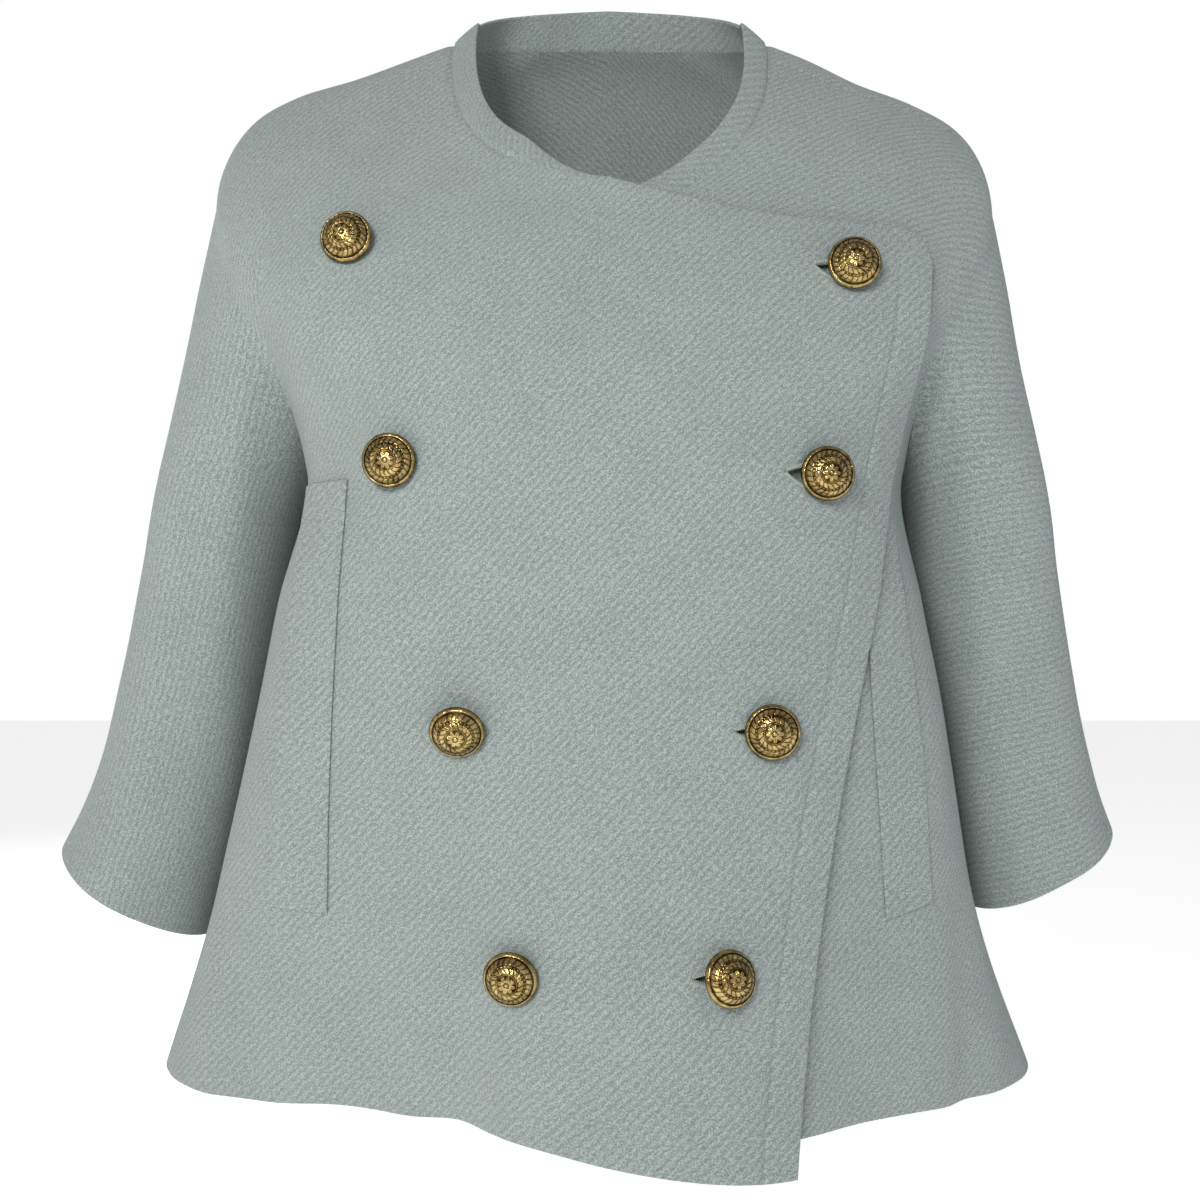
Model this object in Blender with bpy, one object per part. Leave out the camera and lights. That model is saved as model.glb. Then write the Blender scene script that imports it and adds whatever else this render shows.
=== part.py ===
"""Double-breasted swing jacket with cut-on bell sleeves, hollow as worn.

Frame: +X is the wearer's left, +Y is the wearer's back, +Z is up.
The origin is the middle of the neck opening, level with the points where neck and shoulder meet.
Sizes are in millimetres up to the last step, which writes metres.

A station is a place along the garment: 0 at the neck seam, 1 where the sleeves part from the
body at the underarm, 2 at the hem or the cuff. Every ring of the surface belongs to one station.
"""
import bpy
import bmesh
import math
import numpy as np
from mathutils import Matrix, Vector

MM = 0.001
WALL = 2.3
UNDERARM = -260.0        # height at which the sleeves part from the body
SEAM_GAP = 0.3
UNDERLAY = 5.6          # how much deeper the under front lies beneath the outer one
UNDERLAY_REACH = 60.0   # over this distance past the outer edge it comes back up
UNDERLAY_SIDE = (-24.0, -58.0)       # and between these depths, towards the side seam
NECK_SLIP = 22.0        # how far the under front has slipped down at the neck's front middle
NECK_SLIP_REACH = 82.0
NECK_SLIP_STATION = 0.4
RIGHT = -1
LEFT = 1

# Rows and columns of the sheets
YOKE_ROWS = 12
BODY_ROWS = 12
SLEEVE_ROWS = 9
BODY_COLUMNS = 9
SLEEVE_COLUMNS = 8
LAP_COLUMNS = 7
EDGE_COLUMNS = 2
BAND_COLUMNS = 2
SEAM_FORWARD = {RIGHT: 0, LEFT: 2}   # sleeve columns by which the overarm seam lies before the ridge

# The ridge from neck over the shoulder and down the outer sleeve
RIDGE_COLUMNS = ("station", "reach_right", "reach_left", "depth", "z_right", "z_left", "valley")
RIDGE = (
    (0.00, 93.0, 95.0, 4.0, 0.0, 0.0, 72.0),
    (0.12, 118.0, 120.0, 6.0, -9.0, -10.0, 94.0),
    (0.24, 152.0, 149.0, 8.0, -21.0, -24.0, 122.0),
    (0.36, 187.0, 181.0, 9.0, -32.0, -36.0, 151.0),
    (0.46, 211.0, 206.0, 10.0, -46.0, -50.0, 172.0),
    (0.55, 224.5, 219.5, 10.0, -65.0, -68.0, 183.0),
    (0.64, 232.0, 227.0, 10.0, -90.0, -93.0, 187.0),
    (0.76, 243.0, 237.0, 10.0, -141.0, -141.0, 180.0),
    (0.88, 255.0, 247.0, 10.0, -200.0, -200.0, 175.0),
    (1.00, 268.0, 259.0, 10.0, -260.0, -260.0, 176.0),
    (1.25, 279.0, 268.0, 12.0, -318.0, -316.0, 0.0),
    (1.50, 291.0, 277.0, 14.0, -375.0, -370.0, 0.0),
    (1.75, 305.0, 287.5, 16.0, -430.0, -422.0, 0.0),
    (1.88, 316.0, 294.5, 17.0, -457.0, -448.0, 0.0),
    (2.00, 329.0, 303.0, 18.0, -481.0, -470.0, 0.0),
)

# The body: broad front and back, how square its rings are, and how the shoulder ridge is rounded
BODY_TABLE_COLUMNS = ("station", "front", "front_z", "back", "back_z", "square", "round", "lobe_right",
                      "lobe_left", "widest", "swing")
BODY = (
    (0.00, -86.0, -108.0, 80.0, 28.0, 2.4, 0.10, 93.0, 95.0, 4.0, 0.0),
    (0.12, -93.0, -125.0, 94.0, 17.0, 2.4, 0.16, 118.0, 120.0, 6.0, 0.0),
    (0.24, -99.5, -139.0, 104.0, 4.0, 2.4, 0.22, 152.0, 149.0, 8.0, 0.0),
    (0.36, -105.5, -154.0, 111.0, -13.0, 2.4, 0.24, 187.0, 181.0, 9.0, 0.0),
    (0.46, -110.5, -168.0, 116.0, -31.0, 2.4, 0.25, 211.0, 206.0, 10.0, 0.0),
    (0.55, -115.0, -181.0, 119.0, -52.0, 2.45, 0.25, 224.5, 219.5, 10.0, 0.0),
    (0.64, -119.0, -194.0, 121.0, -78.0, 2.5, 0.25, 230.0, 225.0, 10.0, 0.0),
    (0.76, -124.5, -213.0, 122.0, -122.0, 2.6, 0.25, 216.0, 213.0, 10.0, 0.0),
    (0.88, -129.0, -235.0, 122.0, -184.0, 2.7, 0.25, 191.0, 188.0, 10.0, 0.0),
    (1.00, -133.0, -260.0, 121.0, -260.0, 2.7, 0.25, 176.0, 173.0, 10.0, 0.0),
    (1.25, -134.0, -338.0, 121.0, -338.0, 2.7, 0.25, 190.0, 181.0, -10.0, 2.0),
    (1.50, -128.0, -425.0, 127.0, -425.0, 2.8, 0.25, 206.0, 194.0, -20.0, 14.0),
    (1.75, -114.0, -515.0, 138.0, -515.0, 2.8, 0.25, 229.0, 212.0, -12.0, 36.0),
    (2.00, -97.0, -606.0, 150.0, -606.0, 2.8, 0.25, 261.0, 247.0, 5.0, 58.0),
)

# The sleeve rings: inner side, its height, and half the depth from front to back
SLEEVE_TABLE_COLUMNS = ("station", "inner_right", "inner_left", "inner_z_right", "inner_z_left",
                        "half_depth")
SLEEVE = (
    (0.00, 30.0, 30.0, 0.0, 0.0, 60.0),
    (0.64, 118.0, 116.0, -100.0, -100.0, 74.0),
    (0.76, 134.0, 131.0, -141.0, -141.0, 73.0),
    (0.88, 152.0, 149.0, -200.0, -200.0, 69.0),
    (1.00, 176.0, 173.0, -260.0, -260.0, 65.0),
    (1.25, 193.0, 184.0, -330.0, -327.0, 61.0),
    (1.50, 205.0, 194.0, -400.0, -393.0, 60.0),
    (1.75, 220.0, 204.5, -470.0, -458.0, 61.0),
    (2.00, 239.0, 219.0, -537.0, -521.0, 63.0),
)

# The back's flutes, which swing out towards the hem: middle, half width and height of each
BACK_FLUTES = ((-128.0, 46.0, 17.0), (-8.0, 58.0, 21.0), (122.0, 50.0, 15.0))
SWING_LEFT_SIDE = 132.0
SWING_LEFT_SOFTNESS = 50.0
SWING_RIGHT_SIDE = -58.0
SWING_RIGHT_SOFTNESS = 38.0
HEM_DROP = 15.0         # the outer front hangs this much lower at its corner
HEM_SWING = 0.3

# The outer front's free outline, on the wearer's left, as sideways place and height
LAP_TOP = ((0.0, -108.0), (24.0, -114.5), (47.0, -120.5), (74.0, -127.0), (107.0, -130.5), (137.0, -132.0),
           (156.0, -133.5), (164.0, -135.5), (169.5, -140.0))
LAP_EDGE = ((169.5, -140.0), (172.5, -149.0), (171.5, -172.0), (160.5, -241.0), (149.5, -292.0),
            (140.5, -335.0), (129.5, -380.0), (120.5, -420.0), (109.0, -478.0), (100.5, -535.0),
            (95.5, -580.0), (93.0, -606.0))
UNDERLAP_SHIFT = 22.0   # the under front reaches this much less far across
BAND_WIDTH = 18.5

# The flat neck band: how far its free edge lies inwards from and above the neck seam, along the
# share of the way round from the front middle (0) past the shoulder ridge (1) to the back middle (2)
NECK_BAND_COLUMNS = ("share", "inwards", "up")
NECK_BAND = ((0.0, 12.0, 17.0), (0.5, 12.0, 15.0), (1.0, 15.0, 13.0), (1.5, 12.0, 18.0), (2.0, 8.0, 22.0))
BAND_TAPER = (4.0, 58.0)     # on the wearer's right it narrows to nothing between these places
BAND_LEFT_START = 16.0       # on the wearer's left it starts here, beneath the overlap
BAND_CROWN = 0.8
BAND_SEAM_COLUMN = 4         # columns past the ridge where the side lengths meet the back length

# Pocket welts: corners of each, as x and z, from its top at the opening side
WELT_RIGHT = ((-167.0, -271.5), (-138.5, -271.5), (-147.5, -499.0), (-180.0, -497.0))
WELT_LEFT = ((134.0, -281.0), (158.0, -281.0), (168.5, -494.0), (143.5, -501.0))
WELT_THICK = 1.6
WELT_LIFT = 0.9
WELT_ROWS = 14
WELT_COLUMNS = 4

# Buttons: sideways place, height, and how far each is turned sideways and tipped up, in degrees
BUTTONS_RIGHT = ((-138.0, -144.5, 3.0, -18.0), (-111.5, -263.5, 20.0, -8.0),
                 (-76.0, -397.5, 12.0, -21.0), (-48.0, -521.5, 16.0, -5.0))
BUTTONS_LEFT = ((128.0, -160.0, -13.0, -17.0), (110.0, -270.5, -22.0, -6.0),
                (80.5, -400.5, -11.0, -4.0), (55.5, -520.0, 15.0, 10.0))
BUTTON_RADIUS = 14.0
BUTTON_SLACK = 1.4      # tilting a button by more than this at its rim lifts it off the cloth
# Radius and height down a button's outline, from the shank's foot over the rim to the dome's top
BUTTON_PROFILE = ((2.2, 0.3), (2.2, 2.6), (12.8, 3.0), (14.0, 4.0), (13.9, 4.9), (13.1, 5.9), (11.9, 6.5),
                  (11.3, 6.3), (10.6, 7.6), (8.4, 9.9), (4.8, 11.8), (0.0, 12.5))
BUTTON_SIDES = 20
HOLE_LENGTHS = (21.0, 23.0, 19.5, 16.0)   # from each shank to its buttonhole's pointed end
HOLE_RADIUS = 3.7
HOLE_DEPTH = 6.0
HOLE_SIDES = 8

CLOTH_COLOUR = (0.335, 0.392, 0.368, 1.0)
BRASS_COLOUR = (0.42, 0.30, 0.13, 1.0)


def through(table, names, name, where):
    """A smooth curve through one column of a table: cubic pieces whose slopes are those of the
    line between each row's two neighbours."""
    rows = np.array(table, float)
    knots = rows[:, 0]
    values = rows[:, names.index(name)]
    slopes = np.gradient(values, knots)
    where = np.clip(np.asarray(where, float), knots[0], knots[-1])
    place = np.clip(np.searchsorted(knots, where, side="right") - 1, 0, len(knots) - 2)
    span = knots[place + 1] - knots[place]
    t = (where - knots[place]) / span
    start = values[place] * (1 + 2 * t) * (1 - t) ** 2 + slopes[place] * span * t * (1 - t) ** 2
    end = values[place + 1] * (3 - 2 * t) * t ** 2 - slopes[place + 1] * span * (1 - t) * t ** 2
    return start + end


def ease(low, high, value):
    """Rises smoothly from 0 at low to 1 at high."""
    t = np.clip((value - low) / (high - low), 0.0, 1.0)
    return t * t * (3 - 2 * t)


def side_name(side, stem):
    return stem + ("_right" if side == RIGHT else "_left")


def ridge(name, station):
    return through(RIDGE, RIDGE_COLUMNS, name, station)


def body(name, station):
    return through(BODY, BODY_TABLE_COLUMNS, name, station)


def sleeve(name, station):
    return through(SLEEVE, SLEEVE_TABLE_COLUMNS, name, station)


def flutes(x, station, front):
    """How far the cloth swings out past its broad ring: a plateau in front, soft waves behind."""
    growth = np.clip(station - 1.15, 0.0, 1.0) / 0.85
    if front:
        rise = np.tanh((x - SWING_RIGHT_SIDE) / SWING_RIGHT_SOFTNESS)
        fall = np.tanh((x - SWING_LEFT_SIDE) / SWING_LEFT_SOFTNESS)
        return -body("swing", station) * 0.5 * (rise - fall)
    waves = 0.0
    for middle, half_width, height in BACK_FLUTES:
        reach = (x - middle * (0.7 + 0.3 * growth)) / half_width
        waves = waves + height * np.exp(-reach * reach)
    return waves * growth ** 1.5


def body_depth(x, station, side, front):
    """Depth of the body's ring at a sideways place: a rounded square's quarter, then the flutes."""
    lobe = body(side_name(side, "lobe"), station)
    square = body("square", station)
    widest = body("widest", station)
    far = body("front" if front else "back", station)
    inside = np.clip(1.0 - np.clip(np.abs(x) / lobe, 0.0, 1.0) ** square, 0.0, 1.0)
    arch = inside ** (1.0 / square)
    return widest + (far - widest) * arch + flutes(x, station, front) * inside


def sleeve_depth(x, station, side, front):
    """Depth of the sleeve's ring at a sideways place: half an ellipse."""
    outer = ridge(side_name(side, "reach"), station)
    inner = sleeve(side_name(side, "inner"), station)
    middle = 0.5 * (outer + inner)
    half = 0.5 * (outer - inner)
    arch = np.sqrt(np.clip(1.0 - ((np.abs(x) - middle) / half) ** 2, 0.0, 1.0))
    sign = -1.0 if front else 1.0
    return ridge("depth", station) + sign * sleeve("half_depth", station) * arch


def joined_depth(x, station, side, front):
    """Above the underarm the ring is whichever of body and sleeve stands farther out, with the
    valley between them filled by a soft fillet that shrinks to nothing at the underarm."""
    sign = -1.0 if front else 1.0
    first = sign * body_depth(x, station, side, front)
    second = sign * sleeve_depth(x, station, side, front)
    soft = 26.0 * np.clip(1.0 - station, 0.0, 0.4) / 0.4 + 0.01
    near = np.clip(soft - np.abs(first - second), 0.0, None)
    return sign * (np.maximum(first, second) + near * near / (4.0 * soft))


def ring_height(depth, station, side, front):
    """Height of a ring's point: the ring bends at the shoulder ridge and falls to the front and
    to the back, with the bend rounded."""
    start = ridge("depth", station)
    far = body("front" if front else "back", station)
    bend = body("round", station)
    t = np.abs((depth - start) / (far - start))
    fall = (np.sqrt(t * t + bend * bend) - bend) / (math.sqrt(1 + bend * bend) - bend)
    top = ridge(side_name(side, "z"), station)
    low = body("front_z" if front else "back_z", station)
    return top + (low - top) * fall


def valley(station, side, front):
    """Where the sleeve leaves the body, as a sideways place on one ring."""
    path = float(ridge("valley", station))
    if station <= 0.64:
        return path
    low = float(sleeve(side_name(side, "inner"), station))
    high = float(body(side_name(side, "lobe"), station))
    for _ in range(40):
        middle = 0.5 * (low + high)
        x = middle * side
        gap = body_depth(x, station, side, front) - sleeve_depth(x, station, side, front)
        body_is_out = gap < 0 if front else gap > 0
        low, high = (middle, high) if body_is_out else (low, middle)
    share = float(ease(0.64, 0.86, station))
    return path + (0.5 * (low + high) - path) * share


def evenly(points, count):
    """The same curve with count + 1 points at even steps along it."""
    steps = np.linalg.norm(np.diff(points, axis=0), axis=1)
    along = np.concatenate(([0.0], np.cumsum(steps)))
    places = np.linspace(0.0, along[-1], count + 1)
    return np.stack([np.interp(places, along, points[:, axis]) for axis in range(3)], axis=1)


def body_arc(station, side, front, count):
    """One ring of the body from its middle to the side seam or the sleeve's valley."""
    end = valley(station, side, front) if station < 1.0 else float(body(side_name(side, "lobe"), station))
    turn = np.linspace(0.0, math.pi / 2, 160)
    reach = end * np.sin(turn)
    x = side * reach
    if station < 1.0:
        y = joined_depth(x, station, side, front)
        z = ring_height(y, station, side, front)
    else:
        y = body_depth(x, station, side, front)
        z = np.full_like(x, float(body("front_z", station)))
    return evenly(np.stack([x, y, z], axis=1), count)


def sleeve_arc(station, side, front, count):
    """One ring of the sleeve from the valley or underarm seam to the outer ridge."""
    outer = float(ridge(side_name(side, "reach"), station))
    below = float(sleeve(side_name(side, "inner"), station))
    inner = valley(station, side, front) if station < 1.0 else below
    turn = np.linspace(0.0, math.pi, 160)
    reach = inner + (outer - inner) * 0.5 * (1.0 - np.cos(turn))
    x = side * reach
    if station < 1.0:
        y = joined_depth(x, station, side, front)
        z = ring_height(y, station, side, front)
    else:
        y = sleeve_depth(x, station, side, front)
        high = float(ridge(side_name(side, "z"), station))
        low = float(sleeve(side_name(side, "inner_z"), station))
        z = high + (low - high) * (outer - reach) / (outer - inner)
    return evenly(np.stack([x, y, z], axis=1), count)


def yoke_stations():
    """Stations from the neck seam to the underarm, closer together as the valley deepens."""
    left_over = np.linspace(1.0, 0.0, YOKE_ROWS + 1)
    return 1.0 - left_over ** 1.9


def lower_stations(count):
    """Stations from the underarm down, closer together just below it."""
    even = np.linspace(0.0, 1.0, count + 1)
    return 1.0 + even ** 1.35


def front_station(x, z, side):
    """The station of the front ring that passes through a given place, by halving."""
    x = np.asarray(x, float)
    z = np.asarray(z, float)
    low = np.zeros_like(x)
    high = np.full_like(x, 2.0)
    for _ in range(40):
        middle = 0.5 * (low + high)
        above = height_at(x, middle, side) > z
        low = np.where(above, middle, low)
        high = np.where(above, high, middle)
    return 0.5 * (low + high)


def height_at(x, station, side):
    """Height of the front ring of a station at a sideways place."""
    reach = ridge(side_name(side, "reach"), station)
    inside = np.minimum(np.abs(x), reach) * side
    depth = joined_depth(inside, station, side, True)
    bend = body("round", station)
    start = ridge("depth", station)
    t = np.abs((depth - start) / (body("front", station) - start))
    fall = (np.sqrt(t * t + bend * bend) - bend) / (np.sqrt(1 + bend * bend) - bend)
    top = ridge(side_name(side, "z"), station)
    upper = top + (body("front_z", station) - top) * fall
    return np.where(station < 1.0, upper, body("front_z", station))


def front_point(x, z):
    """The point of the jacket's front at a sideways place and height."""
    x, z = np.broadcast_arrays(np.asarray(x, float), np.asarray(z, float))
    y = np.zeros(x.shape)
    for side in (RIGHT, LEFT):
        station = front_station(x, z, side)
        upper = joined_depth(x, station, side, True)
        lower = body_depth(x, station, side, True)
        here = np.where(station < 1.0, upper, lower)
        y = np.where((x < 0) == (side == RIGHT), here, y)
    return np.stack([x, y, z], axis=-1)


def smooth_path(points, count):
    """Even steps along a smooth curve through a few places, by the same cubic as the tables."""
    points = np.array(points, float)
    steps = np.concatenate(([0.0], np.cumsum(np.linalg.norm(np.diff(points, axis=0), axis=1))))
    rows = np.column_stack([steps, points])
    where = np.linspace(0.0, steps[-1], count)
    return np.stack([through(rows, ("along", "x", "z"), name, where) for name in ("x", "z")], axis=1)


def lap_edge_at(z):
    """How far sideways the outer front's free edge lies at a height."""
    rows = np.array(LAP_EDGE)[::-1]
    return np.interp(z, rows[:, 1], rows[:, 0])


def lap_top_at(x):
    """How high the outer front's top edge lies at a sideways place."""
    rows = np.array(LAP_TOP + LAP_EDGE[:1])
    return np.interp(x, rows[:, 0], rows[:, 1])


def hem_drop(x, station):
    """How much lower the outer front hangs near its corner."""
    return HEM_DROP * ease(-70.0, 95.0, x) * np.clip(station - 1.0, 0.0, 1.0) ** 2


def hang(points, station):
    """Lets the outer front hang lower near its corner, and a little farther out."""
    drop = hem_drop(points[..., 0], station)
    return points - drop[..., None] * np.array([0.0, HEM_SWING, 1.0])


def under(points):
    """Pushes points of the under front inwards beneath the outer front, fading past its edge."""
    x = points[..., 0]
    y = points[..., 1]
    z = points[..., 2]
    past_edge = x - lap_edge_at(z)
    past_top = z - lap_top_at(np.clip(x, 0.0, None))
    past = np.maximum(past_edge, past_top)
    deep = UNDERLAY * (1.0 - ease(4.0, UNDERLAY_REACH, past))
    deep = deep * ease(-UNDERLAY_SIDE[0], -UNDERLAY_SIDE[1], -y)
    normals = front_normal(x, z)
    return np.where(deep[..., None] > 0.001, points - normals * deep[..., None], points)


def slip(points, stations):
    """Slides the under front down the body at the neck, most at the middle, and keeps it on the
    jacket's surface."""
    x = points[..., 0]
    reach = np.clip(1.0 - np.clip(x, 0.0, None) / NECK_SLIP_REACH, 0.0, 1.0) ** 1.25
    down = NECK_SLIP * reach * (1.0 - ease(0.0, NECK_SLIP_STATION, stations))
    moved = front_point(x, points[..., 2] - down)
    return np.where(down[..., None] > 0.01, moved, points)


def lap_grid(side, stations, first, last, columns):
    """The overlap across the centre, on the far side of the front that it belongs to: rows run
    from the centre to the free edge, and the top rows follow the top edge. First and last give
    its two ends, as millimetres short of the free edge, and None stands for the centre."""
    start_z = body("front_z", stations)
    share = (start_z - start_z[0]) / (start_z[-1] - start_z[0])
    edge = smooth_path(LAP_EDGE, 400)
    end_z = edge[0, 1] + share * (edge[-1, 1] - edge[0, 1])
    end_x = np.interp(end_z, edge[::-1, 1], edge[::-1, 0])
    from_x = 0.0 * end_x if first is None else end_x - first
    to_x = end_x - last
    across = np.linspace(0.0, 1.0, columns + 1)
    x = from_x[:, None] + (to_x - from_x)[:, None] * across
    along = x / end_x[:, None]
    z = start_z[:, None] + (end_z - start_z)[:, None] * along
    top = smooth_path(LAP_TOP, 400)
    straight = start_z[0] + (end_z[0] - start_z[0]) * along[0]
    rise = np.interp(x[0], top[:, 0], top[:, 1]) - straight
    z = z + (1.0 - share[:, None]) ** 8 * rise
    if side == LEFT:
        return under(slip(front_point(-x, z), stations[:, None])), front_normal(-x, z)
    return hang(front_point(x, z), stations[:, None]), front_normal(x, z)


def trim(grid, row_ends, column_ends):
    """Draws a grid's seam edges back by half the seam gap, along the cloth."""
    half = 0.5 * SEAM_GAP
    out = grid.copy()
    for which, inner in column_ends:
        step = grid[:, inner] - grid[:, which]
        out[:, which] += half * step / np.linalg.norm(step, axis=-1, keepdims=True)
    for which, inner in row_ends:
        step = grid[inner] - grid[which]
        out[which] += half * step / np.linalg.norm(step, axis=-1, keepdims=True)
    return out


def grid_faces(numbers):
    """Four-sided faces of a grid of point numbers."""
    quads = np.stack([numbers[:-1, :-1], numbers[1:, :-1], numbers[1:, 1:], numbers[:-1, 1:]], axis=-1)
    return quads.reshape(-1, 4)


def weld(points):
    """Numbers the points that lie in one place alike."""
    _, first, numbers = np.unique(np.round(points, 3), axis=0, return_index=True, return_inverse=True)
    return first, numbers.reshape(-1)


def cloth_normals(grids, turned):
    """The outward direction at every point of several grids that meet along seams, averaged over
    all the faces round it, so that two pieces agree where they meet."""
    points = np.concatenate([grid.reshape(-1, 3) for grid in grids])
    faces = []
    count = 0
    for grid, over in zip(grids, turned):
        rows, columns = grid.shape[:2]
        numbers = np.arange(rows * columns).reshape(rows, columns) + count
        count += rows * columns
        quads = grid_faces(numbers)
        faces.append(quads[:, ::-1] if over else quads)
    faces = np.concatenate(faces)
    _, numbers = weld(points)
    first = points[faces[:, 2]] - points[faces[:, 0]]
    second = points[faces[:, 3]] - points[faces[:, 1]]
    directions = np.cross(first, second)
    sums = np.zeros((numbers.max() + 1, 3))
    for corner in range(4):
        np.add.at(sums, numbers[faces[:, corner]], directions)
    sums = sums / np.linalg.norm(sums, axis=1, keepdims=True)
    normals = sums[numbers]
    out = []
    count = 0
    for grid in grids:
        size = grid.shape[0] * grid.shape[1]
        out.append(normals[count:count + size].reshape(grid.shape))
        count += size
    return out


class Wall:
    """Collects grids that share edges into one piece of cloth with an outer and an inner side."""

    def __init__(self):
        self.outer = []
        self.inner = []
        self.faces = []
        self.count = 0

    def add(self, outer, inner, turned):
        rows, columns = outer.shape[:2]
        numbers = np.arange(rows * columns).reshape(rows, columns) + self.count
        self.count += rows * columns
        self.outer.append(outer.reshape(-1, 3))
        self.inner.append(inner.reshape(-1, 3))
        quads = grid_faces(numbers)
        self.faces.append(quads[:, ::-1] if turned else quads)

    def build(self, name, material):
        """Both sides, and a rim along every edge that only one face uses. Each rim quad is split
        about its own middle, so that the rims on both sides of a seam are split alike."""
        outer = np.concatenate(self.outer)
        inner = np.concatenate(self.inner)
        first, numbers = weld(outer)
        faces = numbers[np.concatenate(self.faces)]
        size = len(first)
        starts = faces.reshape(-1)
        ends = np.roll(faces, -1, axis=1).reshape(-1)
        forward = starts * size + ends
        free = ~np.isin(forward, ends * size + starts)
        a = starts[free]
        b = ends[free]
        points = np.concatenate([outer[first], inner[first]])
        corners = np.stack([b, a, a + size, b + size], axis=1)
        middles = points[corners].mean(axis=1)
        tips = np.repeat(np.arange(len(middles)) + len(points), 4)
        fans = np.stack([corners.reshape(-1), np.roll(corners, -1, axis=1).reshape(-1), tips], axis=1)
        points = np.concatenate([points, middles]) * MM
        all_faces = np.concatenate([faces, faces[:, ::-1] + size]).tolist() + fans.tolist()
        mesh = bpy.data.meshes.new(name)
        mesh.from_pydata(points.tolist(), [], all_faces)
        return new_object(name, mesh, material)


def new_object(name, mesh, material):
    mesh.materials.append(material)
    mesh.shade_smooth()
    piece = bpy.data.objects.new(name, mesh)
    bpy.context.collection.objects.link(piece)
    return piece


def quarter(side, front):
    """The three grids of one quarter of the garment: the yoke with the sleeve's top, the body
    below the underarm, and the sleeve below it."""
    rows = []
    for station in yoke_stations():
        station = min(station, 1.0 - 1e-9)
        near = body_arc(station, side, front, BODY_COLUMNS)
        far = sleeve_arc(station, side, front, SLEEVE_COLUMNS)
        rows.append(np.concatenate([near, far[1:]]))
    upper = np.array(rows)
    lower = np.array([body_arc(s, side, front, BODY_COLUMNS) for s in lower_stations(BODY_ROWS)])
    tube = np.array([sleeve_arc(s, side, front, SLEEVE_COLUMNS) for s in lower_stations(SLEEVE_ROWS)])
    upper[:, -1, 1] = ridge("depth", yoke_stations())
    upper[:, -1, 2] = ridge(side_name(side, "z"), yoke_stations())
    lobe = float(body(side_name(side, "lobe"), 1.0))
    upper[-1, BODY_COLUMNS] = (side * lobe, float(ridge("depth", 1.0)), UNDERARM)
    lower[0] = upper[-1, :BODY_COLUMNS + 1]
    tube[0] = upper[-1, BODY_COLUMNS:]
    return upper, lower, tube


def neck_band_grid(side, front, back):
    """The neck band's rows from the seam to the free edge, from the front middle over the ridge
    to the back middle. Front and back are the two halves of the neck seam."""
    ring = np.concatenate([front, back[::-1][1:]])
    half = (len(ring) - 1) // 2
    share = np.arange(len(ring)) / half
    plan = ring * np.array([1.0, 1.0, 0.0])
    radial = plan / np.linalg.norm(plan, axis=1, keepdims=True)
    inwards = through(NECK_BAND, NECK_BAND_COLUMNS, "inwards", share)
    up = through(NECK_BAND, NECK_BAND_COLUMNS, "up", share)
    wide = np.ones(len(ring))
    if side == RIGHT:
        narrow = 0.06 + 0.94 * ease(BAND_TAPER[0], BAND_TAPER[1], np.abs(ring[:, 0]))
        wide = np.where(share < 1.0, narrow, 1.0)
    step = (np.array([0.0, 0.0, 1.0]) * up[:, None] - radial * inwards[:, None]) * wide[:, None]
    rows = np.linspace(0.0, 1.0, BAND_COLUMNS + 1)[:, None, None]
    crown = np.array([0.0, 0.0, BAND_CROWN]) * wide[None, :, None] * 4.0 * rows * (1.0 - rows)
    return ring + rows * step + crown


def make_pattern():
    """Every grid of the garment's own surface with its outward directions, by side and name."""
    grids = {}
    for side in (RIGHT, LEFT):
        for front in (True, False):
            for name, grid in zip(("upper", "lower", "tube"), quarter(side, front)):
                grids[side, front, name] = grid
        seam = [grids[side, front, "upper"][0] for front in (True, False)]
        grids[side, None, "band"] = neck_band_grid(side, *seam)
    turned = []
    for side, front, name in grids:
        over = (side == LEFT) == (front is False)
        turned.append(side == LEFT if name == "band" else over)
    normals = cloth_normals(list(grids.values()), turned)
    return {key: (grid, normal) for (key, grid), normal in zip(grids.items(), normals)}


def material(name, colour, roughness, metallic):
    made = bpy.data.materials.new(name)
    made.use_nodes = True
    shader = made.node_tree.nodes["Principled BSDF"]
    shader.inputs["Base Color"].default_value = colour
    shader.inputs["Roughness"].default_value = roughness
    shader.inputs["Metallic"].default_value = metallic
    made.diffuse_color = colour
    return made


def add_quarter(wall, grids, normals, turned):
    """Adds a quarter's three grids to a wall, with the seam edges drawn back on both sides."""
    inner = [grid - WALL * normal for grid, normal in zip(grids, normals)]
    sides = []
    for upper, lower, tube in (grids, inner):
        upper = trim(upper, ((0, 1),), ((-1, -2),))
        lower = trim(lower, (), ((-1, -2),))
        tube = trim(tube, (), ((0, 1), (-1, -2)))
        lower[0] = upper[-1, :BODY_COLUMNS + 1]
        lower[0, -1] = tube[0, 0]
        upper[-1, BODY_COLUMNS] = tube[0, 0]
        tube[0] = upper[-1, BODY_COLUMNS:]
        sides.append((upper, lower, tube))
    for outer_grid, inner_grid in zip(*sides):
        wall.add(outer_grid, inner_grid, turned)
    return sides


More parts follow.
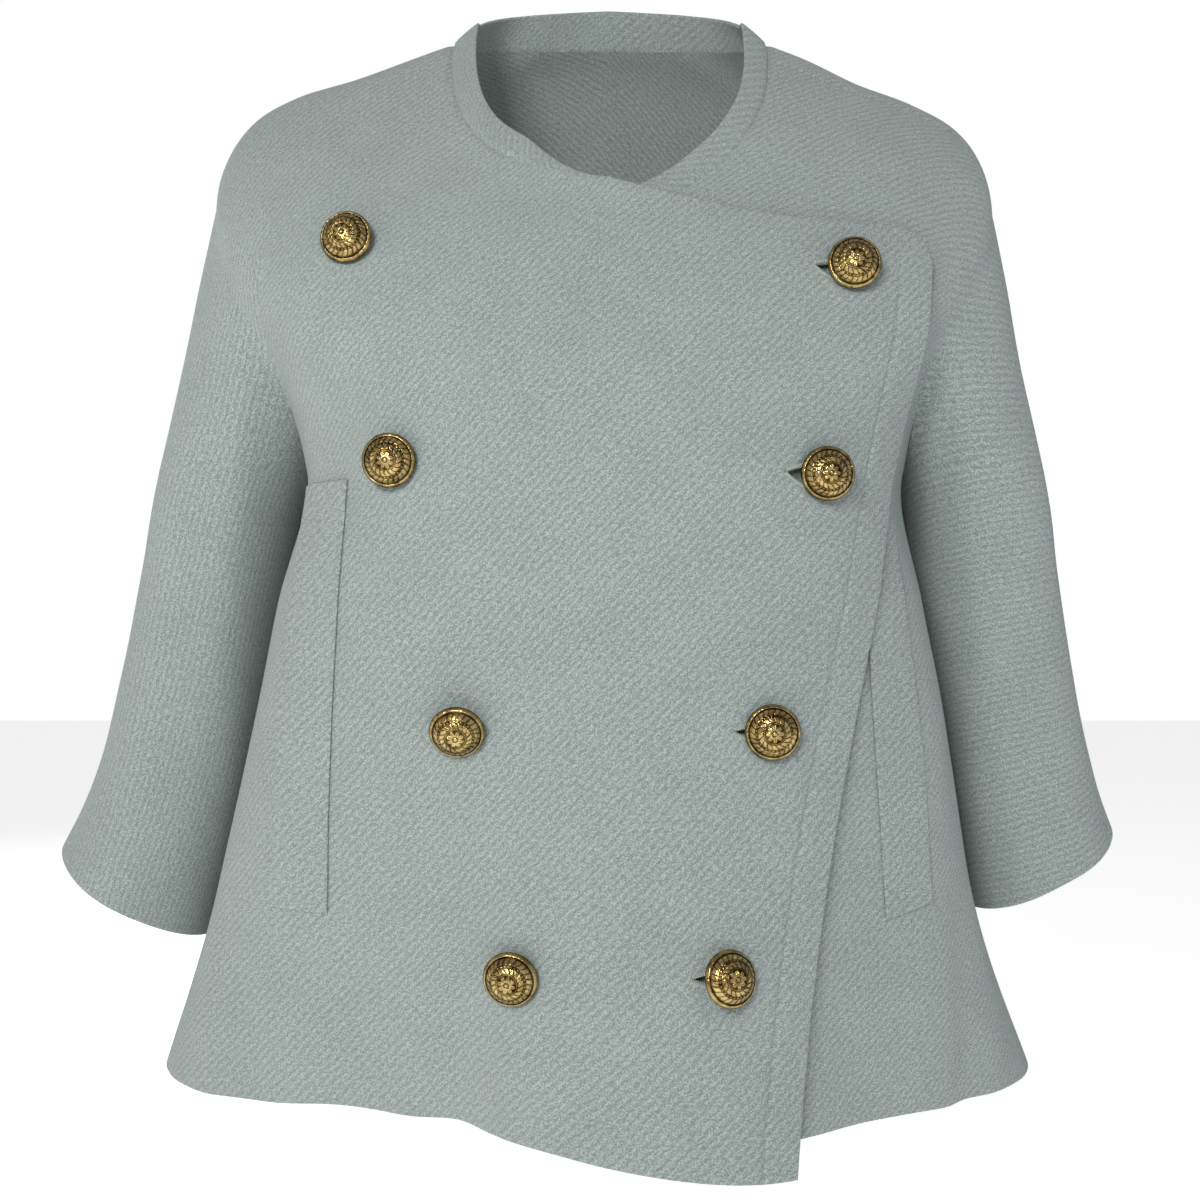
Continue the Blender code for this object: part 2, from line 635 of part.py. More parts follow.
def make_front(side, pattern, cloth):
    """One front with its cut-on half sleeve and its share of the overlap."""
    keep = -SEAM_FORWARD[side] or None
    names = ("upper", "lower", "tube")
    grids = [pattern[side, True, name][0] for name in names]
    normals = [pattern[side, True, name][1] for name in names]
    stations = lower_stations(BODY_ROWS)
    if side == LEFT:
        grids[0] = under(slip(grids[0], yoke_stations()[:, None]))
        grids[1] = under(grids[1])
    else:
        grids[1] = hang(grids[1], stations[:, None])
    for part in (0, 2):
        grids[part] = grids[part][:, :keep]
        normals[part] = normals[part][:, :keep]
    wall = Wall()
    outer, inner = add_quarter(wall, grids, normals, side == RIGHT)
    stations = np.concatenate([yoke_stations(), stations[1:]])
    short = BAND_WIDTH + SEAM_GAP if side == RIGHT else UNDERLAP_SHIFT
    lap, lap_normals = lap_grid(side, stations, None, short, LAP_COLUMNS)
    lap_inner = lap - WALL * lap_normals
    lap[:, 0] = np.concatenate([outer[0][:, 0], outer[1][1:, 0]])
    lap_inner[:, 0] = np.concatenate([inner[0][:, 0], inner[1][1:, 0]])
    wall.add(lap, lap_inner, side == LEFT)
    return wall.build("front_right" if side == RIGHT else "front_left", cloth)


def make_back(pattern, cloth):
    """The back with both cut-on half sleeves, as far as the overarm seams."""
    wall = Wall()
    names = ("upper", "lower", "tube")
    for side in (RIGHT, LEFT):
        grids = [pattern[side, False, name][0] for name in names]
        normals = [pattern[side, False, name][1] for name in names]
        past = slice(-2, -2 - SEAM_FORWARD[side], -1)
        for part in (0, 2):
            before = pattern[side, True, names[part]]
            grids[part] = np.concatenate([grids[part], before[0][:, past]], axis=1)
            normals[part] = np.concatenate([normals[part], before[1][:, past]], axis=1)
        add_quarter(wall, grids, normals, side == LEFT)
    return wall.build("back", cloth)


def make_front_edge_band(cloth):
    """The strip along the outer front's free edge."""
    stations = np.concatenate([yoke_stations(), lower_stations(BODY_ROWS)[1:]])
    grid, normals = lap_grid(RIGHT, stations, BAND_WIDTH, 0.0, EDGE_COLUMNS)
    wall = Wall()
    wall.add(grid, grid - WALL * normals, False)
    return wall.build("front_edge_band", cloth)


def make_neck_bands(pattern, cloth):
    """The neck band in three lengths: two from the front to past the ridge, and one behind."""
    behind = []
    for side in (RIGHT, LEFT):
        grid, normals = pattern[side, None, "band"]
        half = (grid.shape[1] - 1) // 2
        seam = half + BAND_SEAM_COLUMN
        if side == LEFT:
            moved = under(slip(grid[0, :half + 1], np.zeros(half + 1)))
            grid = grid.copy()
            grid[:, :half + 1] += moved - grid[0, :half + 1]
        inner = grid - WALL * normals
        start = BAND_TAPER[0] if side == RIGHT else BAND_LEFT_START
        first = int(np.argmax(np.abs(grid[0, :, 0]) > start))
        sides = [trim(layer[:, first:seam + 1], ((0, 1),), ((-1, -2),)) for layer in (grid, inner)]
        wall = Wall()
        wall.add(*sides, side == LEFT)
        wall.build(side_name(side, "collar"), cloth)
        behind.append([trim(layer[:, seam:], ((0, 1),), ((0, 1),)) for layer in (grid, inner)])
    wall = Wall()
    wall.add(*behind[0], False)
    wall.add(*behind[1], True)
    wall.build("collar_back", cloth)


def front_normal(x, z):
    """The outward direction of the front's surface at a place, from small steps to each side."""
    step = 2.0
    across = front_point(x + step, z) - front_point(x - step, z)
    down = front_point(x, z - step) - front_point(x, z + step)
    normal = np.cross(down, across)
    normal = normal / np.linalg.norm(normal, axis=-1, keepdims=True)
    return np.where(normal[..., 1:2] > 0, -normal, normal)


def make_pocket_welt(name, corners, cloth):
    """A long welt with four corners, laid on its front."""
    down = np.linspace(0.0, 1.0, WELT_ROWS + 1)[:, None, None]
    across = np.linspace(0.0, 1.0, WELT_COLUMNS + 1)[None, :, None]
    top_a, top_b, low_b, low_a = (np.array(corner) for corner in corners)
    top = (1 - across) * top_a + across * top_b
    low = (1 - across) * low_a + across * low_b
    place = (1 - down) * top + down * low
    points = front_point(place[..., 0], place[..., 1])
    if name.endswith("left"):
        points = under(points)
    normals = front_normal(place[..., 0], place[..., 1])
    wall = Wall()
    wall.add(points + normals * (WELT_LIFT + WELT_THICK), points + normals * WELT_LIFT, False)
    return wall.build(name, cloth)


def button_frame(x, z, turn, tip):
    """Where a button sits, and its own axes: its third axis points out of the cloth, turned
    sideways and tipped down by its angles."""
    station = front_station(x, z, RIGHT if x < 0 else LEFT)
    seat = hang(front_point(x, z + hem_drop(x, station)), station)
    normal = Vector(front_normal(np.array(x), np.array(z)).tolist())
    out = Matrix.Rotation(math.radians(turn), 3, "Z") @ Matrix.Rotation(math.radians(-tip), 3, "X") @ normal
    across = Vector((1.0, 0.0, 0.0))
    across = (across - out * across.dot(out)).normalized()
    up = out.cross(across)
    frame = Matrix((across, up, out)).transposed().to_4x4()
    frame.translation = Vector(seat.tolist()) * MM
    return frame, normal


def turned_mesh(name, profile, sides):
    """A closed turned shape from a profile of radius and height, with both ends closed."""
    shape = bmesh.new()
    rings = []
    for radius, height in profile:
        if radius < 1e-6:
            rings.append([shape.verts.new((0.0, 0.0, height * MM))])
            continue
        ring = []
        for step in range(sides):
            angle = 2 * math.pi * step / sides
            ring.append(shape.verts.new((radius * MM * math.cos(angle), radius * MM * math.sin(angle),
                                         height * MM)))
        rings.append(ring)
    for low, high in zip(rings, rings[1:]):
        for step in range(sides):
            after = (step + 1) % sides
            if len(high) == 1:
                shape.faces.new((low[step], low[after], high[0]))
            else:
                shape.faces.new((low[step], low[after], high[after], high[step]))
    shape.faces.new(rings[0][::-1])
    mesh = bpy.data.meshes.new(name)
    shape.to_mesh(mesh)
    shape.free()
    return mesh


def make_buttons(side, brass):
    """A column of four buttons; those on the under front have longer shanks."""
    rows = BUTTONS_RIGHT if side == RIGHT else BUTTONS_LEFT
    stem = "button_right_" if side == RIGHT else "button_left_"
    foot = BUTTON_PROFILE[0][1] - (0.0 if side == RIGHT else UNDERLAY)
    frames = []
    for number, row in enumerate(rows, start=1):
        frame, normal = button_frame(*row)
        tilt = math.sin(math.radians(math.hypot(row[2], row[3])))
        rise = max(0.0, BUTTON_RADIUS * tilt - BUTTON_SLACK)
        profile = [(radius, height + rise) for radius, height in BUTTON_PROFILE]
        shank = BUTTON_PROFILE[0][0]
        profile[0] = (shank, foot + shank * tilt)
        mesh = turned_mesh(stem + str(number), profile, BUTTON_SIDES)
        button = new_object(stem + str(number), mesh, brass)
        button.matrix_world = frame
        frames.append((frame, normal))
    return frames


def make_buttonhole(number, frame, normal):
    """A cutter for one buttonhole: a teardrop, round about the shank and pointed towards the
    jacket's middle."""
    outline = []
    for step in range(HOLE_SIDES + 1):
        angle = math.radians(-100.0 + 200.0 * step / HOLE_SIDES)
        outline.append((HOLE_RADIUS * math.cos(angle), HOLE_RADIUS * math.sin(angle)))
    outline.append((-HOLE_LENGTHS[number - 1], 0.0))
    shape = bmesh.new()
    low = [shape.verts.new((x * MM, y * MM, -HOLE_DEPTH * MM)) for x, y in outline]
    high = [shape.verts.new((x * MM, y * MM, HOLE_DEPTH * MM)) for x, y in outline]
    shape.faces.new(low[::-1])
    shape.faces.new(high)
    for step in range(len(outline)):
        after = (step + 1) % len(outline)
        shape.faces.new((low[step], low[after], high[after], high[step]))
    mesh = bpy.data.meshes.new("buttonhole_cutter")
    shape.to_mesh(mesh)
    shape.free()
    cutter = bpy.data.objects.new("buttonhole_cutter_" + str(number), mesh)
    bpy.context.collection.objects.link(cutter)
    across = Vector((1.0, 0.0, 0.0))
    across = (across - normal * across.dot(normal)).normalized()
    matrix = Matrix((across, normal.cross(across), normal)).transposed().to_4x4()
    matrix.translation = frame.translation
    cutter.matrix_world = matrix
    cutter.hide_render = True
    cutter.display_type = "WIRE"
    return cutter


def cut_buttonholes(front, frames):
    for number, (frame, normal) in enumerate(frames, start=1):
        cut = front.modifiers.new("buttonhole " + str(number), "BOOLEAN")
        cut.operation = "DIFFERENCE"
        cut.object = make_buttonhole(number, frame, normal)


def clear_scene():
    for item in list(bpy.data.objects):
        bpy.data.objects.remove(item)


def main():
    clear_scene()
    cloth = material("wool cloth", CLOTH_COLOUR, 0.95, 0.0)
    brass = material("old brass", BRASS_COLOUR, 0.35, 1.0)
    pattern = make_pattern()
    outer = make_front(RIGHT, pattern, cloth)
    make_front(LEFT, pattern, cloth)
    make_back(pattern, cloth)
    make_front_edge_band(cloth)
    make_neck_bands(pattern, cloth)
    make_pocket_welt("pocket_welt_right", WELT_RIGHT, cloth)
    make_pocket_welt("pocket_welt_left", WELT_LEFT, cloth)
    make_buttons(RIGHT, brass)
    cut_buttonholes(outer, make_buttons(LEFT, brass))


main()
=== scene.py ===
"""Looks of the double-breasted swing jacket: napped wool twill, stitched buttonholes, brass buttons.

The cloth is drawn again at a fine step on the same rings as the solids. Sizes are in millimetres
in the frame's own directions (+X the wearer's left, +Y the wearer's back, +Z up, origin in the
middle of the neck opening) until a mesh is made, which is in metres.

A station is a place along the garment: 0 at the neck seam, 1 where the sleeves part from the
body at the underarm, 2 at the hem or the cuff.
"""
import math

import bpy
import numpy as np
from mathutils import Matrix, Vector

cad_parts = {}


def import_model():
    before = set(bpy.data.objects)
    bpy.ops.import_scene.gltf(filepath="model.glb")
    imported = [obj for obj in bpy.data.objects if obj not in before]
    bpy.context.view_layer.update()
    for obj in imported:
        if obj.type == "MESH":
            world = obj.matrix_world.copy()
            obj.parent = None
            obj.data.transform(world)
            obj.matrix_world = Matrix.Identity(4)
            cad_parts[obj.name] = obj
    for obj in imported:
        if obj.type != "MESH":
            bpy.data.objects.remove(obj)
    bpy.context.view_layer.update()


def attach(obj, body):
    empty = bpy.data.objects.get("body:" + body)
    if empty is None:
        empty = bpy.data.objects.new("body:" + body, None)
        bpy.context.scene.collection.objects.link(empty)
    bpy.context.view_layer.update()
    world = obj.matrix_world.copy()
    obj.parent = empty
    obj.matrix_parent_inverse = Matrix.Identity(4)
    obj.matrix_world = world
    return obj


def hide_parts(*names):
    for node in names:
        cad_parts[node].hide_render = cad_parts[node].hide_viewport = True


MM = 0.001
RIGHT = -1
LEFT = 1
SIDE_WORD = {RIGHT: "right", LEFT: "left"}

# ---------------------------------------------------------------- the cut of the jacket
CLOTH_THICK = 2.3
UNDERARM = -260.0
UNDERLAY = 5.6
UNDERLAY_REACH = 60.0
UNDERLAY_SIDE = (-24.0, -58.0)
NECK_SLIP = 22.0
NECK_SLIP_REACH = 82.0
NECK_SLIP_STATION = 0.4
SEAM_FORWARD = {RIGHT: 0.0, LEFT: 0.25}   # share of the front sleeve that belongs to the back piece

RIDGE_COLUMNS = ("station", "reach_right", "reach_left", "depth", "z_right", "z_left", "valley")
RIDGE = (
    (0.00, 93.0, 95.0, 4.0, 0.0, 0.0, 72.0),
    (0.12, 118.0, 120.0, 6.0, -9.0, -10.0, 94.0),
    (0.24, 152.0, 149.0, 8.0, -21.0, -24.0, 122.0),
    (0.36, 187.0, 181.0, 9.0, -32.0, -36.0, 151.0),
    (0.46, 211.0, 206.0, 10.0, -46.0, -50.0, 172.0),
    (0.55, 224.5, 219.5, 10.0, -65.0, -68.0, 183.0),
    (0.64, 232.0, 227.0, 10.0, -90.0, -93.0, 187.0),
    (0.76, 243.0, 237.0, 10.0, -141.0, -141.0, 180.0),
    (0.88, 255.0, 247.0, 10.0, -200.0, -200.0, 175.0),
    (1.00, 268.0, 259.0, 10.0, -260.0, -260.0, 176.0),
    (1.25, 279.0, 268.0, 12.0, -318.0, -316.0, 176.0),
    (1.50, 291.0, 277.0, 14.0, -375.0, -370.0, 176.0),
    (1.75, 305.0, 287.5, 16.0, -430.0, -422.0, 176.0),
    (1.88, 316.0, 294.5, 17.0, -457.0, -448.0, 176.0),
    (2.00, 329.0, 303.0, 18.0, -481.0, -470.0, 176.0),
)

BODY_COLUMNS = ("station", "front", "front_z", "back", "back_z", "square", "round", "lobe_right",
                "lobe_left", "widest", "swing")
BODY = (
    (0.00, -86.0, -108.0, 80.0, 28.0, 2.4, 0.10, 93.0, 95.0, 4.0, 0.0),
    (0.12, -93.0, -125.0, 94.0, 17.0, 2.4, 0.16, 118.0, 120.0, 6.0, 0.0),
    (0.24, -99.5, -139.0, 104.0, 4.0, 2.4, 0.22, 152.0, 149.0, 8.0, 0.0),
    (0.36, -105.5, -154.0, 111.0, -13.0, 2.4, 0.24, 187.0, 181.0, 9.0, 0.0),
    (0.46, -110.5, -168.0, 116.0, -31.0, 2.4, 0.25, 211.0, 206.0, 10.0, 0.0),
    (0.55, -115.0, -181.0, 119.0, -52.0, 2.45, 0.25, 224.5, 219.5, 10.0, 0.0),
    (0.64, -119.0, -194.0, 121.0, -78.0, 2.5, 0.25, 230.0, 225.0, 10.0, 0.0),
    (0.76, -124.5, -213.0, 122.0, -122.0, 2.6, 0.25, 216.0, 213.0, 10.0, 0.0),
    (0.88, -129.0, -235.0, 122.0, -184.0, 2.7, 0.25, 191.0, 188.0, 10.0, 0.0),
    (1.00, -133.0, -260.0, 121.0, -260.0, 2.7, 0.25, 176.0, 173.0, 10.0, 0.0),
    (1.25, -134.0, -338.0, 121.0, -338.0, 2.7, 0.25, 190.0, 181.0, -10.0, 2.0),
    (1.50, -128.0, -425.0, 127.0, -425.0, 2.8, 0.25, 206.0, 194.0, -20.0, 14.0),
    (1.75, -114.0, -515.0, 138.0, -515.0, 2.8, 0.25, 229.0, 212.0, -12.0, 36.0),
    (2.00, -97.0, -606.0, 150.0, -606.0, 2.8, 0.25, 261.0, 247.0, 5.0, 58.0),
)

SLEEVE_COLUMNS = ("station", "inner_right", "inner_left", "inner_z_right", "inner_z_left", "half_depth")
SLEEVE = (
    (0.00, 30.0, 30.0, 0.0, 0.0, 60.0),
    (0.64, 118.0, 116.0, -100.0, -100.0, 74.0),
    (0.76, 134.0, 131.0, -141.0, -141.0, 73.0),
    (0.88, 152.0, 149.0, -200.0, -200.0, 69.0),
    (1.00, 176.0, 173.0, -260.0, -260.0, 65.0),
    (1.25, 193.0, 184.0, -330.0, -327.0, 61.0),
    (1.50, 205.0, 194.0, -400.0, -393.0, 60.0),
    (1.75, 220.0, 204.5, -470.0, -458.0, 61.0),
    (2.00, 239.0, 219.0, -537.0, -521.0, 63.0),
)

# Each flute of the back: its middle, half width and height
BACK_FLUTES = ((-128.0, 46.0, 17.0), (-8.0, 58.0, 21.0), (122.0, 50.0, 15.0))
SWING_LEFT_SIDE = 132.0
SWING_LEFT_SOFTNESS = 50.0
SWING_RIGHT_SIDE = -58.0
SWING_RIGHT_SOFTNESS = 38.0
HEM_DROP = 15.0
HEM_SWING = 0.3

LAP_TOP = ((0.0, -108.0), (24.0, -114.5), (47.0, -120.5), (74.0, -127.0), (107.0, -130.5), (137.0, -132.0),
           (156.0, -133.5), (164.0, -135.5), (169.5, -140.0))
LAP_EDGE = ((169.5, -140.0), (172.5, -149.0), (171.5, -172.0), (160.5, -241.0), (149.5, -292.0),
            (140.5, -335.0), (129.5, -380.0), (120.5, -420.0), (109.0, -478.0), (100.5, -535.0),
            (95.5, -580.0), (93.0, -606.0))
UNDERLAP_SHIFT = 22.0
BAND_WIDTH = 18.5

NECK_BAND_COLUMNS = ("share", "inwards", "up")
NECK_BAND = ((0.0, 12.0, 17.0), (0.5, 12.0, 15.0), (1.0, 15.0, 13.0), (1.5, 12.0, 18.0), (2.0, 8.0, 22.0))
BAND_TAPER = (4.0, 58.0)
BAND_LEFT_START = 16.0
BAND_CROWN = 0.8

WELT_RIGHT = ((-167.0, -271.5), (-138.5, -271.5), (-147.5, -499.0), (-180.0, -497.0))
WELT_LEFT = ((134.0, -281.0), (158.0, -281.0), (168.5, -494.0), (143.5, -501.0))
WELT_THICK = 1.6

# Each button: x, z, and the angles it is turned sideways and tipped down by
BUTTONS = {
    RIGHT: ((-138.0, -144.5, 3.0, -18.0), (-111.5, -263.5, 20.0, -8.0),
            (-76.0, -397.5, 12.0, -21.0), (-48.0, -521.5, 16.0, -5.0)),
    LEFT: ((128.0, -160.0, -13.0, -17.0), (110.0, -270.5, -22.0, -6.0),
           (80.5, -400.5, -11.0, -4.0), (55.5, -520.0, 15.0, 10.0)),
}
BUTTON_RADIUS = 14.0
BUTTON_SLACK = 1.4

# ---------------------------------------------------------------- steps of the fine surfaces
YOKE_ROWS = 96
BODY_ROWS = 84
SLEEVE_ROWS = 60
BODY_STEPS = 64
SLEEVE_STEPS = 40
LAP_STEPS = 46
EDGE_STEPS = 12
ARC_SAMPLES = 240
HALVINGS = 40
# Lengths that the close rows beside an edge are spaced for
YOKE_LENGTH = 900.0
LOWER_LENGTH = 340.0
BODY_LENGTH = 260.0
SLEEVE_LENGTH = 175.0
AHEAD_LENGTH = 130.0
STRIP_LENGTH = 44.0
LAP_LENGTH = 130.0
BAND_LENGTH = 22.0
EDGE_RINGS = (0.0, 0.25, 0.6, 1.1, 1.9, 3.0)   # distances from a cut edge at which a row is placed
FREE_ROLL = 1.3                                # a free edge is rounded over this distance
SEAM_DEPTH = 1.1
SEAM_WIDTH = 1.5


# ---------------------------------------------------------------- curves from short tables
def through(table, names, name, where):
    """A smooth curve through one column of a table: cubic pieces whose slopes are those of the
    line between each row's two neighbours."""
    rows = np.array(table, float)
    knots = rows[:, 0]
    values = rows[:, names.index(name)]
    slopes = np.gradient(values, knots)
    where = np.clip(np.asarray(where, float), knots[0], knots[-1])
    place = np.clip(np.searchsorted(knots, where, side="right") - 1, 0, len(knots) - 2)
    span = knots[place + 1] - knots[place]
    t = (where - knots[place]) / span
    start = values[place] * (1 + 2 * t) * (1 - t) ** 2 + slopes[place] * span * t * (1 - t) ** 2
    end = values[place + 1] * (3 - 2 * t) * t ** 2 - slopes[place + 1] * span * (1 - t) * t ** 2
    return start + end


def ease(low, high, value):
    """Rises smoothly from 0 at low to 1 at high: 3 t squared minus 2 t cubed."""
    t = np.clip((value - low) / (high - low), 0.0, 1.0)
    return t * t * (3 - 2 * t)


def bump(value, middle, half_width):
    """A soft bell: e to the minus square of the distance from its middle, in half widths."""
    return np.exp(-((value - middle) / half_width) ** 2)


def ridge(name, station):
    return through(RIDGE, RIDGE_COLUMNS, name, station)


def body(name, station):
    return through(BODY, BODY_COLUMNS, name, station)


def sleeve(name, station):
    return through(SLEEVE, SLEEVE_COLUMNS, name, station)


def of_side(name, side):
    return name + "_" + SIDE_WORD[side]


# ---------------------------------------------------------------- the jacket's surface
FILLET = 26.0                 # of the valley between body and sleeve
FILLET_FADE = 0.4             # it shrinks over this many stations above the underarm
SWING_START = 1.15
SWING_SPAN = 0.85
VALLEY_FREE = (0.64, 0.86)    # stations over which the valley leaves its table for the true crossing
STRAIGHT_LAP = 8              # the top rows of the overlap lose the top edge's curve by this power


def flutes(x, station, front):
    """How far the cloth swings out past its broad ring: a plateau in front, soft bells behind."""
    growth = np.clip(station - SWING_START, 0.0, 1.0) / SWING_SPAN
    if front:
        rise = np.tanh((x - SWING_RIGHT_SIDE) / SWING_RIGHT_SOFTNESS)
        fall = np.tanh((x - SWING_LEFT_SIDE) / SWING_LEFT_SOFTNESS)
        return -body("swing", station) * 0.5 * (rise - fall)
    waves = 0.0
    for middle, half_width, height in BACK_FLUTES:
        waves = waves + height * bump(x, middle * (0.7 + 0.3 * growth), half_width)
    return waves * growth ** 1.5


def body_depth(x, station, side, front):
    """Depth of the body's ring at a sideways place: a quarter of a rounded square, x and depth
    raised to its power adding up to one, and the flutes."""
    lobe = body(of_side("lobe", side), station)
    square = body("square", station)
    widest = body("widest", station)
    far = body("front" if front else "back", station)
    inside = np.clip(1.0 - np.clip(np.abs(x) / lobe, 0.0, 1.0) ** square, 0.0, 1.0)
    arch = inside ** (1.0 / square)
    return widest + (far - widest) * arch + flutes(x, station, front) * inside


def sleeve_depth(x, station, side, front):
    """Depth of the sleeve's ring at a sideways place: half an ellipse."""
    outer = ridge(of_side("reach", side), station)
    inner = sleeve(of_side("inner", side), station)
    middle = 0.5 * (outer + inner)
    half = 0.5 * (outer - inner)
    arch = np.sqrt(np.clip(1.0 - ((np.abs(x) - middle) / half) ** 2, 0.0, 1.0))
    sign = -1.0 if front else 1.0
    return ridge("depth", station) + sign * sleeve("half_depth", station) * arch


def joined_depth(x, station, side, front):
    """Above the underarm the ring is whichever of body and sleeve stands farther out, with the
    valley between them filled by a soft fillet that shrinks to nothing at the underarm."""
    sign = -1.0 if front else 1.0
    first = sign * body_depth(x, station, side, front)
    second = sign * sleeve_depth(x, station, side, front)
    soft = FILLET * np.clip(1.0 - station, 0.0, FILLET_FADE) / FILLET_FADE + 0.01
    near = np.clip(soft - np.abs(first - second), 0.0, None)
    return sign * (np.maximum(first, second) + near * near / (4.0 * soft))


def ring_height(depth, station, side, front):
    """Height of a ring's point: the ring bends at the shoulder ridge and falls to the front and
    to the back as a hyperbola does, with the bend rounded."""
    start = ridge("depth", station)
    far = body("front" if front else "back", station)
    bend = body("round", station)
    t = np.abs((depth - start) / (far - start))
    fall = (np.sqrt(t * t + bend * bend) - bend) / (np.sqrt(1 + bend * bend) - bend)
    top = ridge(of_side("z", side), station)
    low = body("front_z" if front else "back_z", station)
    return top + (low - top) * fall


def valley(station, side, front):
    """Where the sleeve leaves the body, as a sideways place on each ring, by halving."""
    path = ridge("valley", station)
    low = np.broadcast_to(sleeve(of_side("inner", side), station), np.shape(station)).copy()
    high = np.broadcast_to(body(of_side("lobe", side), station), np.shape(station)).copy()
    for _ in range(HALVINGS):
        middle = 0.5 * (low + high)
        place = (middle * side, station, side, front)
        gap = body_depth(*place) - sleeve_depth(*place)
        body_is_out = gap < 0 if front else gap > 0
        low = np.where(body_is_out, middle, low)
        high = np.where(body_is_out, high, middle)
    start, end = VALLEY_FREE
    share = ease(start, end, station)
    return np.where(station <= start, path, path + (0.5 * (low + high) - path) * share)


def at_places(rows, places):
    """Each row of points resampled at shares of its own length. All rows are read at once, by
    setting their shares end to end on one line."""
    steps = np.linalg.norm(np.diff(rows, axis=1), axis=2)
    along = np.concatenate([np.zeros((len(rows), 1)), np.cumsum(steps, axis=1)], axis=1)
    along = along / along[:, -1:]
    offset = 2.0 * np.arange(len(rows))[:, None]
    line = (along + offset).ravel()
    where = (places[None, :] + offset).ravel()
    parts = [np.interp(where, line, rows[..., axis].ravel()) for axis in range(3)]
    return np.stack(parts, axis=-1).reshape(len(rows), len(places), 3)


def body_rings(stations, side, front, places):
    """Rings of the body from its middle to the sleeve's valley or to the side seam, x going as
    the sine of an even turn so that the steep end is well covered."""
    s = stations[:, None]
    above = s < 1.0
    end = np.where(above, valley(s, side, front), body(of_side("lobe", side), s))
    turn = np.linspace(0.0, math.pi / 2, ARC_SAMPLES)[None, :]
    x = side * end * np.sin(turn)
    y = np.where(above, joined_depth(x, s, side, front), body_depth(x, s, side, front))
    z = np.where(above, ring_height(y, s, side, front), body("front_z", s) + 0.0 * x)
    return at_places(np.stack([x, y, z], axis=-1), places)


def sleeve_rings(stations, side, front, places):
    """Rings of the sleeve from the valley or the underarm seam to the outer ridge."""
    s = stations[:, None]
    above = s < 1.0
    outer = ridge(of_side("reach", side), s)
    inner = np.where(above, valley(s, side, front), sleeve(of_side("inner", side), s))
    turn = np.linspace(0.0, math.pi, ARC_SAMPLES)[None, :]
    reach = inner + (outer - inner) * 0.5 * (1.0 - np.cos(turn))
    x = side * reach
    y = np.where(above, joined_depth(x, s, side, front), sleeve_depth(x, s, side, front))
    high = ridge(of_side("z", side), s)
    low = sleeve(of_side("inner_z", side), s)
    hanging = high + (low - high) * (outer - reach) / (outer - inner)
    z = np.where(above, ring_height(y, s, side, front), hanging)
    y[:, -1] = ridge("depth", stations)
    z[:, -1] = ridge(of_side("z", side), stations)
    return at_places(np.stack([x, y, z], axis=-1), places)


def height_at(x, station, side):
    """Height of the front ring of a station at a sideways place."""
    reach = ridge(of_side("reach", side), station)
    inside = np.minimum(np.abs(x), reach) * side
    upper = ring_height(joined_depth(inside, station, side, True), station, side, True)
    return np.where(station < 1.0, upper, body("front_z", station))


def front_station(x, z, side):
    """The station of the front ring that passes through a given place, by halving."""
    low = np.zeros(np.broadcast(x, z).shape)
    high = np.full_like(low, 2.0)
    for _ in range(30):
        middle = 0.5 * (low + high)
        above = height_at(x, middle, side) > z
        low = np.where(above, middle, low)
        high = np.where(above, high, middle)
    return 0.5 * (low + high)


def front_point(x, z):
    """The point of the jacket's front at a sideways place and height."""
    x, z = np.broadcast_arrays(np.asarray(x, float), np.asarray(z, float))
    y = np.zeros(x.shape)
    for side in (RIGHT, LEFT):
        station = front_station(x, z, side)
        place = (x, station, side, True)
        here = np.where(station < 1.0, joined_depth(*place), body_depth(*place))
        y = np.where((x < 0) == (side == RIGHT), here, y)
    return np.stack([x, y, z], axis=-1)


def front_normal(x, z):
    """The outward direction of the front's surface at a place, from small steps to each side."""
    step = 2.0
    across = front_point(x + step, z) - front_point(x - step, z)
    down = front_point(x, z - step) - front_point(x, z + step)
    normal = unit(np.cross(down, across))
    return np.where(normal[..., 1:2] > 0, -normal, normal)


def unit(vectors):
    return vectors / np.maximum(np.linalg.norm(vectors, axis=-1, keepdims=True), 1e-12)


# ---------------------------------------------------------------- the overlap
def smooth_path(points, count):
    """Even steps along a smooth curve through a few places, by the same cubic as the tables."""
    points = np.array(points, float)
    steps = np.concatenate(([0.0], np.cumsum(np.linalg.norm(np.diff(points, axis=0), axis=1))))
    rows = np.column_stack([steps, points])
    where = np.linspace(0.0, steps[-1], count)
    return np.stack([through(rows, ("along", "x", "z"), name, where) for name in ("x", "z")], axis=1)


def hem_drop(x, station):
    """How much lower the outer front hangs near its corner."""
    return HEM_DROP * ease(-70.0, 95.0, x) * np.clip(station - 1.0, 0.0, 1.0) ** 2


def hang(points, station):
    """Lets the outer front hang lower near its corner, and a little farther out."""
    drop = hem_drop(points[..., 0], station)
    return points - drop[..., None] * np.array([0.0, HEM_SWING, 1.0])


def under(points):
    """Pushes points of the under front inwards beneath the outer front, fading past its edge."""
    x = points[..., 0]
    z = points[..., 2]
    edge = np.array(LAP_EDGE)[::-1]
    top = np.array(LAP_TOP + LAP_EDGE[:1])
    past_edge = x - np.interp(z, edge[:, 1], edge[:, 0])
    past_top = z - np.interp(np.clip(x, 0.0, None), top[:, 0], top[:, 1])
    deep = UNDERLAY * (1.0 - ease(4.0, UNDERLAY_REACH, np.maximum(past_edge, past_top)))
    deep = deep * ease(-UNDERLAY_SIDE[0], -UNDERLAY_SIDE[1], -points[..., 1])
    moved = points - front_normal(x, z) * deep[..., None]
    return np.where(deep[..., None] > 0.001, moved, points)


